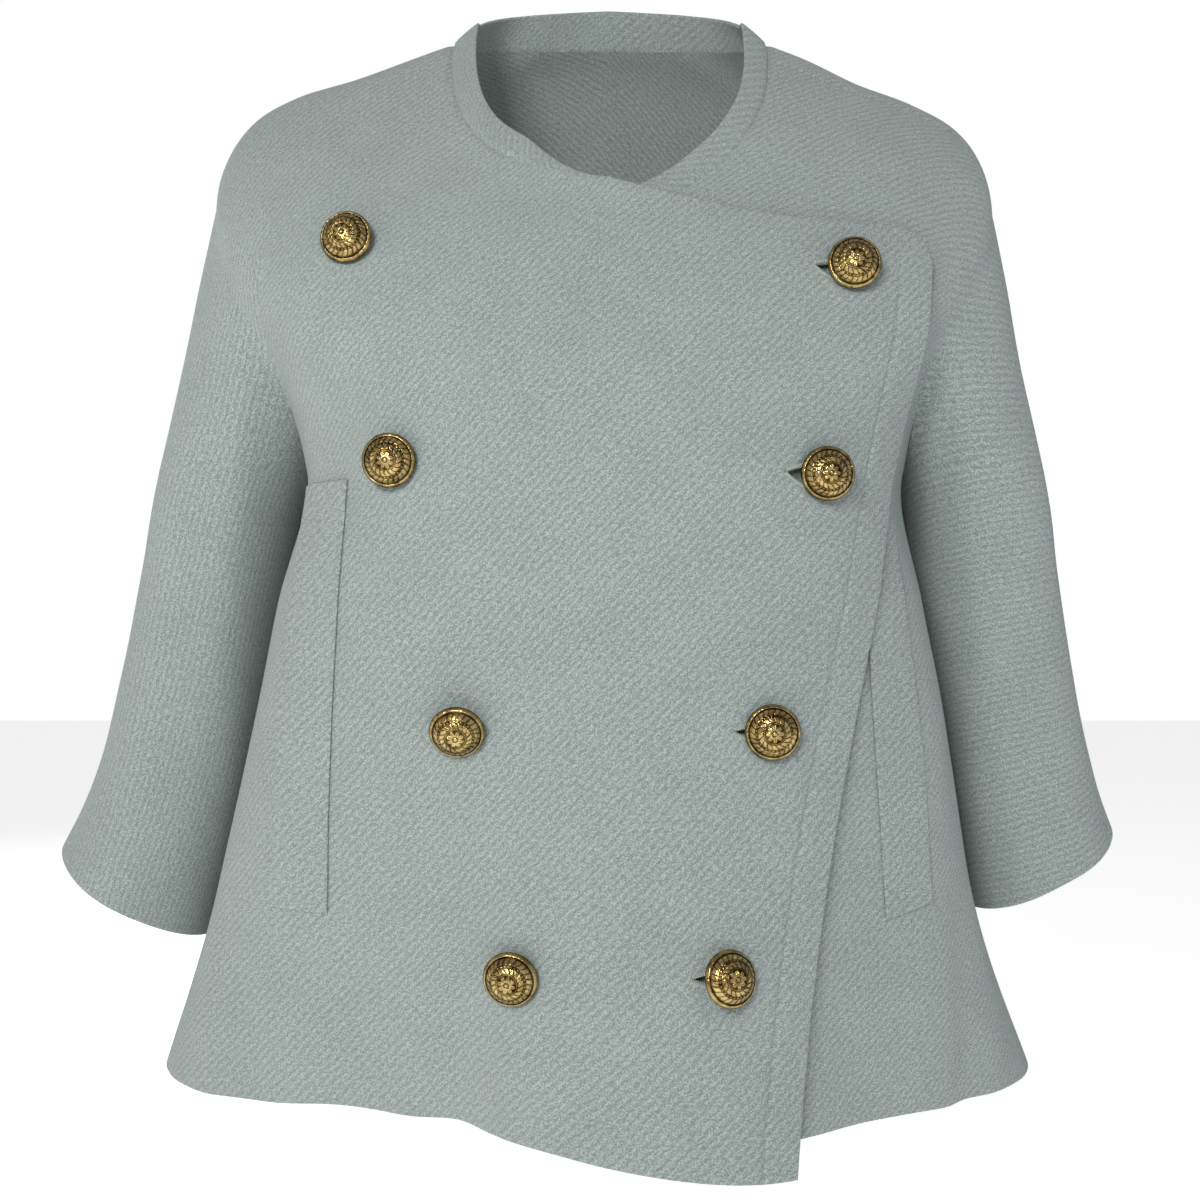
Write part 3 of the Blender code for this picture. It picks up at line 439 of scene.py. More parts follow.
def slip(points, stations):
    """Slides the under front down the body at the neck, most at the middle, and keeps it on the
    jacket's surface."""
    x = points[..., 0]
    reach = np.clip(1.0 - np.clip(x, 0.0, None) / NECK_SLIP_REACH, 0.0, 1.0) ** 1.25
    down = NECK_SLIP * reach * (1.0 - ease(0.0, NECK_SLIP_STATION, stations))
    moved = front_point(x, points[..., 2] - down)
    return np.where(down[..., None] > 0.01, moved, points)


# ---------------------------------------------------------------- places on the fine grids
def shares(count, length, start_edge, end_edge):
    """Shares from 0 to 1 in even steps, with close rows added beside an edge that is rolled or
    sewn."""
    even = np.linspace(0.0, 1.0, count + 1)
    extra = np.array(EDGE_RINGS) / length
    parts = [even]
    if start_edge:
        parts = [extra] + [part[part > extra[-1] * 1.4] for part in parts]
    if end_edge:
        parts = [part[part < 1.0 - extra[-1] * 1.4] for part in parts] + [1.0 - extra[::-1]]
    return np.concatenate(parts)


def yoke_stations():
    """Stations from the neck seam to the underarm, closer together as the valley deepens."""
    left_over = 1.0 - shares(YOKE_ROWS, YOKE_LENGTH, True, False)
    return np.minimum(1.0 - left_over ** 1.5, 1.0 - 1e-9)


def lower_stations(count):
    """Stations from the underarm down, closer together just below it."""
    return 1.0 + shares(count, LOWER_LENGTH, False, True) ** 1.2


def from_edge(grid, axis, end):
    """Distance along the cloth of every grid point from one end of its row or column."""
    steps = np.linalg.norm(np.diff(grid, axis=axis), axis=2)
    zero = np.zeros_like(steps.take([0], axis=axis))
    along = np.concatenate([zero, np.cumsum(steps, axis=axis)], axis=axis)
    return along if end == 0 else along.take([-1], axis=axis) - along


def grid_faces(numbers):
    """Four-sided faces of a grid of point numbers."""
    quads = np.stack([numbers[:-1, :-1], numbers[1:, :-1], numbers[1:, 1:], numbers[:-1, 1:]], axis=-1)
    return quads.reshape(-1, 4)


def weld(points):
    """Numbers the points that lie in one place alike."""
    _, first, numbers = np.unique(np.round(points, 3), axis=0, return_index=True, return_inverse=True)
    return first, numbers.reshape(-1)


def shared_normals(grids, turned):
    """Outward directions at every point of several grids, averaged over all the faces round it,
    so that grids agree where they meet."""
    points = np.concatenate([grid.reshape(-1, 3) for grid in grids])
    faces = []
    count = 0
    for grid, over in zip(grids, turned):
        size = grid.shape[0] * grid.shape[1]
        quads = grid_faces(np.arange(size).reshape(grid.shape[:2]) + count)
        faces.append(quads[:, ::-1] if over else quads)
        count += size
    faces = np.concatenate(faces)
    _, numbers = weld(points)
    first, second, third, fourth = points[faces.T]
    directions = np.cross(third - first, fourth - second)
    sums = np.zeros((numbers.max() + 1, 3))
    for corner in range(4):
        np.add.at(sums, numbers[faces[:, corner]], directions)
    normals = unit(sums)[numbers]
    cuts = np.cumsum([grid.shape[0] * grid.shape[1] for grid in grids])[:-1]
    return [part.reshape(grid.shape) for part, grid in zip(np.split(normals, cuts), grids)]


# ---------------------------------------------------------------- the weave's own coordinates
UP_LEAN = 0.9
LEAN_HEIGHTS = (-140.0, -20.0)   # heights between which the weave starts to lean over the shoulder
SLEEVE_TURN = 33.0            # degrees by which a hanging sleeve turns the weave of its panel
TURN_REACH = 70.0
CUT_STATION = 0.62            # past it the fold between sleeve and body parts their weaves


def weave_axes(points, normals, front):
    """Two directions in the cloth at each point: across, towards an onlooker's right, and up.
    Up leans back over the shoulder, and across is square to it and to the outward direction."""
    lean = UP_LEAN * ease(*LEAN_HEIGHTS, points[..., 2]) * (1.0 if front else -1.0)
    up = np.stack([np.zeros_like(lean), lean, np.ones_like(lean)], axis=-1)
    across = unit(np.cross(up, normals))
    return across, np.cross(normals, across)


class WeaveSheet:
    """Lays flat coordinates over joined grids: each step between neighbours should match the
    step's own parts across and up the cloth, and the differences are spread evenly by least
    squares, solved by conjugate gradients."""

    def __init__(self):
        self.starts = []
        self.ends = []
        self.steps = []
        self.weights = []
        self.count = 0

    def numbers(self, shape):
        made = np.arange(shape[0] * shape[1]).reshape(shape) + self.count
        self.count += made.size
        return made

    def add(self, numbers, points, axes):
        """Links every point of a grid with the next one along its row and along its column."""
        for axis in (0, 1):
            low = [part.swapaxes(0, axis)[:-1] for part in (numbers, points, *axes)]
            high = [part.swapaxes(0, axis)[1:] for part in (numbers, points, *axes)]
            step = high[1] - low[1]
            parts = [(step * 0.5 * (low[k] + high[k])).sum(axis=-1) for k in (2, 3)]
            self.starts.append(low[0].ravel())
            self.ends.append(high[0].ravel())
            self.steps.append(np.stack(parts, axis=-1).reshape(-1, 2))
            self.weights.append(1.0 / np.maximum(np.linalg.norm(step, axis=-1).ravel(), 0.3))

    def pull(self, values, starts, ends, weights):
        """For each point, the weighted sum of its differences from its neighbours."""
        flow = (values[ends] - values[starts]) * weights[:, None]
        total = [np.bincount(ends, flow[:, k], self.count) - np.bincount(starts, flow[:, k], self.count)
                 for k in (0, 1)]
        return np.stack(total, axis=1)

    def solve(self, fixed, known, rounds=420):
        """Coordinates of all points, given those of the fixed ones."""
        starts = np.concatenate(self.starts)
        ends = np.concatenate(self.ends)
        weights = np.concatenate(self.weights)
        steps = np.concatenate(self.steps) * weights[:, None]
        gains = [np.bincount(ends, steps[:, k], self.count) for k in (0, 1)]
        losses = [np.bincount(starts, steps[:, k], self.count) for k in (0, 1)]
        wanted = np.stack(gains, axis=1) - np.stack(losses, axis=1)
        strength = np.bincount(starts, weights, self.count) + np.bincount(ends, weights, self.count)
        loose = np.ones((self.count, 1))
        loose[fixed] = 0.0
        strength = np.maximum(strength, 1e-9)[:, None]
        values = np.zeros((self.count, 2))
        values[fixed] = known
        left = (wanted - self.pull(values, starts, ends, weights)) * loose
        scaled = left / strength
        going = scaled.copy()
        size = (left * scaled).sum(axis=0)
        for _ in range(rounds):
            back = self.pull(going, starts, ends, weights) * loose
            length = size / np.maximum((going * back).sum(axis=0), 1e-30)
            values += going * length
            left -= back * length
            scaled = left / strength
            before = size
            size = (left * scaled).sum(axis=0)
            going = scaled + going * (size / np.maximum(before, 1e-30))
        return values


def turned_axes(axes, degrees):
    """The two directions in the cloth turned within it."""
    angle = np.radians(degrees)[..., None]
    across, up = axes
    return across * np.cos(angle) + up * np.sin(angle), up * np.cos(angle) - across * np.sin(angle)


# ---------------------------------------------------------------- soft folds and hollows
# Folds of the front: where each starts and ends as x and z, its half width and height
FRONT_FOLDS = (
    (-88.0, -490.0, -104.0, -628.0, 14.0, 2.4),
    (-68.0, -500.0, -80.0, -628.0, 11.0, -2.8),
    (-46.0, -460.0, -54.0, -628.0, 16.0, 2.0),
    (-118.0, -470.0, -150.0, -622.0, 22.0, -2.2),
    (-20.0, -500.0, -34.0, -628.0, 24.0, -1.8),
    (-178.0, -330.0, -222.0, -610.0, 16.0, 2.4),
    (150.0, -480.0, 190.0, -600.0, 24.0, 2.6),
    (112.0, -520.0, 128.0, -600.0, 16.0, -2.4),
    (-150.0, -60.0, -166.0, -190.0, 17.0, 1.6),
    (-128.0, -190.0, -150.0, -300.0, 22.0, -1.6),
    (140.0, -60.0, 168.0, -180.0, 18.0, 1.8),
)
SLEEVE_FOLDS = (
    (-214.0, -180.0, -252.0, -470.0, 12.0, -2.2),
    (-238.0, -150.0, -288.0, -480.0, 15.0, 1.8),
    (-196.0, -140.0, -214.0, -330.0, 10.0, 2.0),
    (206.0, -190.0, 246.0, -460.0, 13.0, -2.0),
    (232.0, -160.0, 268.0, -450.0, 14.0, 2.0),
    (190.0, -150.0, 206.0, -300.0, 9.0, 1.6),
)
BACK_FOLDS = (
    (-70.0, -300.0, -96.0, -606.0, 24.0, -3.0),
    (-178.0, -280.0, -214.0, -600.0, 18.0, 3.0),
    (54.0, -330.0, 60.0, -606.0, 22.0, -3.4),
    (170.0, -300.0, 204.0, -600.0, 18.0, 2.8),
    (-120.0, -40.0, -150.0, -230.0, 20.0, 2.6),
    (-150.0, -90.0, -168.0, -290.0, 14.0, -2.0),
    (112.0, -40.0, 148.0, -230.0, 20.0, 2.4),
    (144.0, -90.0, 164.0, -290.0, 15.0, -2.2),
    (0.0, -60.0, 4.0, -240.0, 40.0, 1.6),
)
SLEEVE_STARTS = (176.0, 196.0)   # sideways places between which body folds give way to sleeve folds
DIMPLE_DEPTH = 1.7
DIMPLE_RADIUS = 11.5
DIMPLE_LIP = 1.0
DIMPLE_LIP_PLACE = 16.0
DIMPLE_LIP_WIDTH = 4.2


def fold_heights(points, folds):
    """Sum of soft creases: each is a bell across its own line, and it fades in and out along it."""
    x = points[..., 0]
    z = points[..., 2]
    height = np.zeros_like(x)
    for x_top, z_top, x_low, z_low, half_width, tall in folds:
        along = (z - z_top) / (z_low - z_top)
        middle = x_top + (x_low - x_top) * np.clip(along, -0.2, 1.3)
        middle = middle + 0.25 * half_width * np.sin(3.1 * along + 0.05 * x_top)
        spread = half_width * (0.75 + 0.45 * np.clip(along, 0.0, 1.0))
        height += tall * bump(x, middle, spread) * ease(-0.1, 0.55, along)
    return height


def unevenness(points):
    """A hand-made cloth is never quite even: a few long, low waves that don't line up."""
    x = points[..., 0]
    y = points[..., 1]
    z = points[..., 2]
    waves = np.sin(x / 37.0 + 1.3 * np.sin(z / 71.0) + y / 53.0) * np.sin(z / 49.0 + 0.8 * np.sin(x / 63.0))
    ripples = np.sin(x / 19.0 + z / 27.0 + 2.0 * np.sin(y / 31.0)) * np.sin(z / 17.0 - x / 41.0)
    return 0.34 * waves + 0.12 * ripples


def button_dimples(points, buttons):
    """A hollow under each button with a raised lip round it: a bell minus a wider ring."""
    height = np.zeros(points.shape[:2])
    for x, z, _, _ in buttons:
        far = np.hypot(points[..., 0] - x, points[..., 2] - z)
        lip = DIMPLE_LIP * bump(far, DIMPLE_LIP_PLACE, DIMPLE_LIP_WIDTH)
        height += lip - DIMPLE_DEPTH * bump(far, 0.0, DIMPLE_RADIUS)
    return height


def relief(points, normals, front, buttons=()):
    """How far the cloth stands out from its broad form, in millimetres. Folds fade where the
    cloth faces sideways, so that front and back meet at the seams."""
    facing = np.clip(np.abs(normals[..., 1]), 0.0, 1.0)
    sleeve_side = ease(*SLEEVE_STARTS, np.abs(points[..., 0])) * np.ones(points.shape[:2])
    folds = FRONT_FOLDS if front else BACK_FOLDS
    height = fold_heights(points, folds) * (1.0 - sleeve_side)
    height += fold_heights(points, SLEEVE_FOLDS) * sleeve_side
    height = height * ease(0.12, 0.6, facing)
    return height + unevenness(points) + button_dimples(points, buttons)


# ---------------------------------------------------------------- making pieces of cloth
def free_roll(far, fade):
    """How far a free edge is rounded inwards: a quarter circle over the rolling distance."""
    t = np.clip(1.0 - far / FREE_ROLL, 0.0, 1.0)
    return 0.5 * CLOTH_THICK * (1.0 - np.sqrt(1.0 - t * t)) * fade


def rim_triangles(faces, raw, twin, size):
    """Two triangles from each edge that only one face has to its twin on the inner side, with
    the weave's own point numbers beside them. Triangles that come to nothing are left out."""
    starts = faces.reshape(-1)
    ends = np.roll(faces, -1, axis=1).reshape(-1)
    lone = ~np.isin(starts * size + ends, ends * size + starts)
    raw_starts = raw.reshape(-1)[lone]
    raw_ends = np.roll(raw, -1, axis=1).reshape(-1)[lone]
    starts = starts[lone]
    ends = ends[lone]
    rims = np.concatenate([np.stack([ends, starts, twin[starts]], axis=1),
                           np.stack([ends, twin[starts], twin[ends]], axis=1)])
    raw_rims = np.concatenate([np.stack([raw_ends, raw_starts, raw_starts], axis=1),
                               np.stack([raw_ends, raw_starts, raw_ends], axis=1)])
    real = (rims != np.roll(rims, 1, axis=1)).all(axis=1)
    return rims[real], raw_rims[real]


class ClothPiece:
    """Joins panels that share edges into one closed piece of cloth with rounded free edges,
    seams drawn in, and weave coordinates."""

    def __init__(self, name, thick=CLOTH_THICK):
        self.name = name
        self.thick = thick
        self.outer = []
        self.inner = []
        self.base = []
        self.weave = []
        self.faces = []
        self.count = 0

    def add(self, points, normals, weave, turned, roll, groove):
        shape = points.shape[:2]
        size = shape[0] * shape[1]
        drawn = np.maximum(roll * self.thick / CLOTH_THICK, groove * SEAM_DEPTH)
        self.base.append(points.reshape(-1, 3))
        self.outer.append((points - normals * drawn[..., None]).reshape(-1, 3))
        inside = self.thick * (1.0 - roll / CLOTH_THICK)
        self.inner.append((points - normals * inside[..., None]).reshape(-1, 3))
        self.weave.append(weave.reshape(-1, 2))
        quads = grid_faces(np.arange(size).reshape(shape) + self.count)
        self.faces.append(quads[:, ::-1] if turned else quads)
        self.count += size

    def build(self, material):
        """Both sides and the rims. Where a free edge is fully rounded the two sides meet, and the
        rim there is left out."""
        first, numbers = weld(np.concatenate(self.base))
        outer = np.concatenate(self.outer)[first]
        inner = np.concatenate(self.inner)[first]
        weave = np.concatenate(self.weave) * MM
        raw = np.concatenate(self.faces)
        faces = numbers[raw]
        size = len(first)
        twin = np.where(np.linalg.norm(outer - inner, axis=1) < 0.02, np.arange(size), np.arange(size) + size)
        rims, raw_rims = rim_triangles(faces, raw, twin, size)
        quads = np.concatenate([faces, twin[faces[:, ::-1]]])
        raw_quads = np.concatenate([raw, raw[:, ::-1]])
        points = np.concatenate([outer, inner]) * MM
        used = np.unique(np.concatenate([quads.ravel(), rims.ravel()]))
        place = np.zeros(len(points), int)
        place[used] = np.arange(len(used))
        mesh = bpy.data.meshes.new(self.name)
        mesh.from_pydata(points[used].tolist(), [], place[quads].tolist() + place[rims].tolist())
        corners = np.concatenate([raw_quads.ravel(), raw_rims.ravel()])
        layer = mesh.uv_layers.new(name="weave")
        layer.data.foreach_set("uv", weave[corners].ravel().astype(np.float32))
        return new_piece(self.name, mesh, material)


def new_piece(name, mesh, material):
    mesh.materials.append(material)
    mesh.shade_smooth()
    piece = bpy.data.objects.new(name, mesh)
    bpy.context.collection.objects.link(piece)
    return piece


def panel_edges(grid, free=None, sewn=None):
    """Roll and groove of a grid from its named edges. Each name comes with how strong its edge
    is, from 0 to 1, at every point."""
    ends = {"top": (0, 0), "bottom": (0, 1), "start": (1, 0), "end": (1, 1)}
    roll = np.zeros(grid.shape[:2])
    groove = np.zeros(grid.shape[:2])
    for name, fade in (free or {}).items():
        roll = np.maximum(roll, free_roll(from_edge(grid, *ends[name]), fade))
    for name, fade in (sewn or {}).items():
        groove = np.maximum(groove, fade * bump(from_edge(grid, *ends[name]), 0.0, SEAM_WIDTH))
    return roll, groove


# ---------------------------------------------------------------- the garment's grids
BAND_SEAM_SHARE = 4.0 / 17.0          # past the ridge, where the side lengths meet the back length
BAND_VALLEY_SHARE = 9.0 / 17.0        # where the valley column falls on the neck band
BAND_ROWS = 14
NECK_SEAM_LOST = (40.0, 62.0)
WELT_PROUD = 1.7
WELT_ROWS = 150
WELT_STEPS = 22


def sleeve_places(side, front):
    """Shares of a sleeve's ring from its inner seam to the shoulder ridge, and how many of them
    belong to the front. The left overarm seam lies forward of the ridge."""
    seam = 1.0 - SEAM_FORWARD[side]
    if not front or seam == 1.0:
        places = shares(SLEEVE_STEPS, SLEEVE_LENGTH, True, True)
        return places, len(places)
    first = seam * shares(int(SLEEVE_STEPS * seam), AHEAD_LENGTH, True, True)
    rest = 1.0 - seam
    second = seam + rest * shares(int(SLEEVE_STEPS * rest), STRIP_LENGTH, True, True)
    return np.concatenate([first, second[1:]]), len(first)


class Quarter:
    """One quarter of the garment on fine grids: yoke with sleeve top, lower body, lower sleeve."""

    def __init__(self, side, front):
        self.side = side
        self.front = front
        self.turned = (side == LEFT) == (not front)
        self.above = yoke_stations()
        self.below = lower_stations(BODY_ROWS)
        self.inside = shares(BODY_STEPS, BODY_LENGTH, False, True)
        self.outside, self.kept = sleeve_places(side, front)
        near = body_rings(self.above, side, front, self.inside)
        far = sleeve_rings(self.above, side, front, self.outside)
        self.split = near.shape[1] - 1
        upper = np.concatenate([near, far[:, 1:]], axis=1)
        lower = body_rings(self.below, side, front, self.inside)
        tube = sleeve_rings(lower_stations(SLEEVE_ROWS), side, front, self.outside)
        lobe = float(body(of_side("lobe", side), 1.0))
        upper[-1, self.split] = (side * lobe, float(ridge("depth", 1.0)), UNDERARM)
        lower[0] = upper[-1, :self.split + 1]
        tube[0] = upper[-1, self.split:]
        self.grids = {"upper": upper, "lower": lower, "tube": tube}
        self.normals = {}
        self.weave = {}

    def lay_weave(self):
        """Weave coordinates of each grid. The hanging sleeve turns the weave, little by little
        over the shoulder, and all at once at the deep fold where it leaves the body."""
        split = self.split
        turn = SLEEVE_TURN * (1.0 if (self.side == RIGHT) == self.front else -1.0)
        station = self.above[:, None]
        half = 0.5 * (1.0 - ease(0.5, 0.8, station))
        start = ease(0.05, 0.5, station)
        upper = self.grids["upper"]
        inner, outer = upper[:, :split + 1], upper[:, split:]
        inner_turn = turn * start * half * (1.0 - ease(0.0, TURN_REACH, from_edge(inner, 1, 1)))
        outer_turn = turn * start * (1.0 - half * (1.0 - ease(0.0, TURN_REACH, from_edge(outer, 1, 0))))
        normals = self.normals["upper"]
        sheet = WeaveSheet()
        numbers = {"inner": sheet.numbers(inner.shape[:2]), "outer": sheet.numbers(outer.shape[:2]),
                   "lower": sheet.numbers(self.grids["lower"].shape[:2]),
                   "tube": sheet.numbers(self.grids["tube"].shape[:2])}
        joined = self.above < CUT_STATION
        numbers["outer"][joined, 0] = numbers["inner"][joined, -1]
        numbers["lower"][0] = numbers["inner"][-1]
        numbers["tube"][0] = numbers["outer"][-1]
        parts = {"inner": (inner, normals[:, :split + 1], inner_turn),
                 "outer": (outer, normals[:, split:], outer_turn),
                 "lower": (self.grids["lower"], self.normals["lower"], 0.0),
                 "tube": (self.grids["tube"], self.normals["tube"], turn)}
        for name, (points, directions, degrees) in parts.items():
            straight = weave_axes(points, directions, self.front)
            axes = turned_axes(straight, degrees * np.ones(points.shape[:2]))
            sheet.add(numbers[name], points, axes)
        middle = np.concatenate([inner[:, 0], self.grids["lower"][1:, 0]])
        down = np.concatenate([[0.0], np.cumsum(np.linalg.norm(np.diff(middle, axis=0), axis=1))])
        fixed = np.concatenate([numbers["inner"][:, 0], numbers["lower"][1:, 0]])
        known = np.stack([0.0 * down, -down], axis=1)
        values = sheet.solve(fixed, known)
        return {name: values[numbers[name]] for name in numbers}


class BandRing:
    """The neck seam of one side with the neck band's rows above it, from the front middle over
    the ridge to the back middle."""

    def __init__(self, front, back):
        self.side = front.side
        self.turned = self.side == LEFT
        ring = np.concatenate([front.grids["upper"][0], back.grids["upper"][0, ::-1][1:]])
        ahead = np.concatenate([front.inside * BAND_VALLEY_SHARE,
                                BAND_VALLEY_SHARE + (1.0 - BAND_VALLEY_SHARE) * front.outside[1:]])
        behind = np.concatenate([back.inside * BAND_VALLEY_SHARE,
                                 BAND_VALLEY_SHARE + (1.0 - BAND_VALLEY_SHARE) * back.outside[1:]])
        self.share = np.concatenate([ahead, 2.0 - behind[::-1][1:]])
        self.grid = self.rows_above(ring)
        self.normal = None

    def rows_above(self, ring):
        plan = ring * np.array([1.0, 1.0, 0.0])
        inwards = through(NECK_BAND, NECK_BAND_COLUMNS, "inwards", self.share)[:, None]
        up = through(NECK_BAND, NECK_BAND_COLUMNS, "up", self.share)[:, None]
        wide = np.ones(len(ring))
        if self.side == RIGHT:
            narrow = 0.06 + 0.94 * ease(BAND_TAPER[0], BAND_TAPER[1], np.abs(ring[:, 0]))
            wide = np.where(self.share < 1.0, narrow, 1.0)
        step = (np.array([0.0, 0.0, 1.0]) * up - unit(plan) * inwards) * wide[:, None]
        rows = shares(BAND_ROWS, BAND_LENGTH, True, True)[:, None, None]
        crown = np.array([0.0, 0.0, BAND_CROWN]) * wide[None, :, None] * 4.0 * rows * (1.0 - rows)
        return ring + rows * step + crown


def make_pattern():
    """All quarters and neck bands, with outward directions shared wherever they meet."""
    quarters = {(side, front): Quarter(side, front) for side in (RIGHT, LEFT) for front in (True, False)}
    bands = {side: BandRing(quarters[side, True], quarters[side, False]) for side in (RIGHT, LEFT)}
    owners = []
    grids = []
    turned = []
    for quarter in quarters.values():
        for name, grid in quarter.grids.items():
            owners.append((quarter.normals, name))
            grids.append(grid)
            turned.append(quarter.turned)
    for band in bands.values():
        owners.append((band.__dict__, "normal"))
        grids.append(band.grid)
        turned.append(band.turned)
    for (owner, name), normals in zip(owners, shared_normals(grids, turned)):
        owner[name] = normals
    for quarter in quarters.values():
        quarter.weave = quarter.lay_weave()
    return quarters, bands


def near_neck(station):
    """The neck seam holds the cloth still, so folds only start a little below it."""
    return ease(0.0, 0.12, station)


def neck_seam_fade(side, x):
    """On the wearer's right the neck seam is lost in the nap towards the middle."""
    return ease(NECK_SEAM_LOST[0], NECK_SEAM_LOST[1], np.abs(x)) if side == RIGHT else np.ones_like(x)


def add_quarter(piece, quarter, moved, columns, buttons=(), last_seam=1.0):
    """Adds one quarter's grids to a piece, with its seams drawn in and its hem and cuff rounded.
    Columns limits how many of the sleeve's columns are taken. Last_seam is 0 where the cloth runs
    on past the sleeve's last column with no seam."""
    split = quarter.split
    weave = quarter.weave
    held = near_neck(quarter.above)[:, None]
    normals = quarter.normals["upper"]
    height = held * relief(quarter.grids["upper"], normals, quarter.front, buttons)
    upper = moved["upper"] + normals * height[..., None]
    middle_points = [upper[:, 0]]
    middle_normals = [normals[:, 0]]
    whole = slice(0, split + 1)
    arm = slice(split, split + columns)
    neck = neck_seam_fade(quarter.side, upper[:, :split + columns, 0]) if quarter.front else 1.0
    roll, groove = panel_edges(upper[:, :split + columns], sewn={"top": neck, "end": last_seam})
    for part, laid in ((whole, weave["inner"]), (arm, weave["outer"][:, :columns])):
        piece.add(upper[:, part], normals[:, part], laid, quarter.turned, roll[:, part], groove[:, part])
    for name, ends in (("lower", {"end": 1.0}), ("tube", {"start": 1.0, "end": last_seam})):
        many = columns if name == "tube" else split + 1
        normals = quarter.normals[name][:, :many]
        height = relief(quarter.grids[name][:, :many], normals, quarter.front, buttons)
        grid = moved[name][:, :many] + normals * height[..., None]
        roll, groove = panel_edges(grid, free={"bottom": 1.0}, sewn=ends)
        piece.add(grid, normals, weave[name][:, :many], quarter.turned, roll, groove)
        if name == "lower":
            middle_points.append(grid[1:, 0])
            middle_normals.append(normals[1:, 0])
    return np.concatenate(middle_points), np.concatenate(middle_normals)


def lap_places(side, stations, first, last, places):
    """Sideways place and height of each point of the overlap. Rows run from the centre to the
    free edge, and the top rows follow the top edge. First and last give the two ends as
    millimetres short of the free edge, and None stands for the centre."""
    start_z = body("front_z", stations)
    share = (start_z - start_z[0]) / (start_z[-1] - start_z[0])
    edge = smooth_path(LAP_EDGE, 400)
    end_z = edge[0, 1] + share * (edge[-1, 1] - edge[0, 1])
    end_x = np.interp(end_z, edge[::-1, 1], edge[::-1, 0])
    from_x = 0.0 * end_x if first is None else end_x - first
    x = from_x[:, None] + (end_x - last - from_x)[:, None] * places
    z = start_z[:, None] + (end_z - start_z)[:, None] * x / end_x[:, None]
    top = smooth_path(LAP_TOP, 400)
    straight = start_z[0] + (end_z[0] - start_z[0]) * x[0] / end_x[0]
    rise = np.interp(x[0], top[:, 0], top[:, 1]) - straight
    return -side * x, z + (1.0 - share[:, None]) ** STRAIGHT_LAP * rise


def add_lap(piece, side, stations, ends, places, centre, buttons=(), middle=None, free=None, sewn=None):
    """Adds a stretch of the overlap. Centre is the weave's height down the jacket's middle, and
    the weave lies across as the overlap does. Middle gives the points and directions of the
    front's own middle, which the overlap starts from."""
    x, z = lap_places(side, stations, *ends, places)
    points = front_point(x, z)
    normals = front_normal(x, z)
    height = relief(points, normals, True, buttons) * near_neck(stations)[:, None]
    if side == LEFT:
        points = under(slip(points, stations[:, None]))
    else:
        points = hang(points, stations[:, None])
    grid = points + normals * height[..., None]
    if middle is not None:
        grid[:, 0], normals[:, 0] = middle
    upward = centre[:, None] + z - body("front_z", stations)[:, None]
    roll, groove = panel_edges(grid, free, sewn)
    piece.add(grid, normals, np.stack([1.01 * x, upward], axis=-1), side == LEFT, roll, groove)
    return grid


def front_stations(quarter):
    return np.concatenate([quarter.above, quarter.below[1:]])


def centre_weave(quarter):
    """The weave's height down the middle of a front, from the neck to the hem."""
    weave = quarter.weave
    return np.concatenate([weave["inner"][:, 0, 1], weave["lower"][1:, 0, 1]])


def edge_seam_fade(stations):
    """The edge band's seam is hardly drawn in at the top and grows down the front."""
    return ease(-0.15, 0.55, stations)[:, None]


def make_front(side, quarter, cloth, name):
    """One front with its cut-on half sleeve and its share of the overlap."""
    moved = dict(quarter.grids)
    if side == LEFT:
        moved["upper"] = under(slip(moved["upper"], quarter.above[:, None]))
        moved["lower"] = under(moved["lower"])
        moved["tube"] = under(moved["tube"])
    else:
        moved["lower"] = hang(moved["lower"], quarter.below[:, None])
    buttons = BUTTONS[RIGHT] + BUTTONS[LEFT] if side == RIGHT else ()
    piece = ClothPiece(name)
    middle = add_quarter(piece, quarter, moved, quarter.kept, buttons)
    stations = front_stations(quarter)
    centre = centre_weave(quarter)
    places = shares(LAP_STEPS, LAP_LENGTH, False, True)
    if side == RIGHT:
        add_lap(piece, side, stations, (None, BAND_WIDTH), places, centre, buttons, middle,
                free={"top": 1.0, "bottom": 1.0}, sewn={"end": edge_seam_fade(stations)})
    else:
        add_lap(piece, side, stations, (None, UNDERLAP_SHIFT), places, centre, middle=middle,
                free={"top": 1.0, "bottom": 1.0, "end": 1.0})
    return piece.build(cloth)


def make_edge_band(quarter, cloth):
    """The strip along the outer front's free edge."""
    stations = front_stations(quarter)
    piece = ClothPiece("edge_band_cloth")
    add_lap(piece, RIGHT, stations, (BAND_WIDTH, 0.0), shares(EDGE_STEPS, BAND_WIDTH, True, True),
            centre_weave(quarter), BUTTONS[RIGHT] + BUTTONS[LEFT],
            free={"top": 1.0, "bottom": 1.0, "end": 1.0}, sewn={"start": edge_seam_fade(stations)})
    return piece.build(cloth)


def make_back(quarters, cloth):
    """The back with both cut-on half sleeves, as far as the overarm seams."""
    piece = ClothPiece("back_cloth")
    for side in (RIGHT, LEFT):
        behind = quarters[side, False]
        ahead = quarters[side, True]
        runs_on = ahead.kept < len(ahead.outside)
        add_quarter(piece, behind, behind.grids, len(behind.outside), last_seam=0.0 if runs_on else 1.0)
        if runs_on:
            add_forward_strip(piece, ahead)
    return piece.build(cloth)


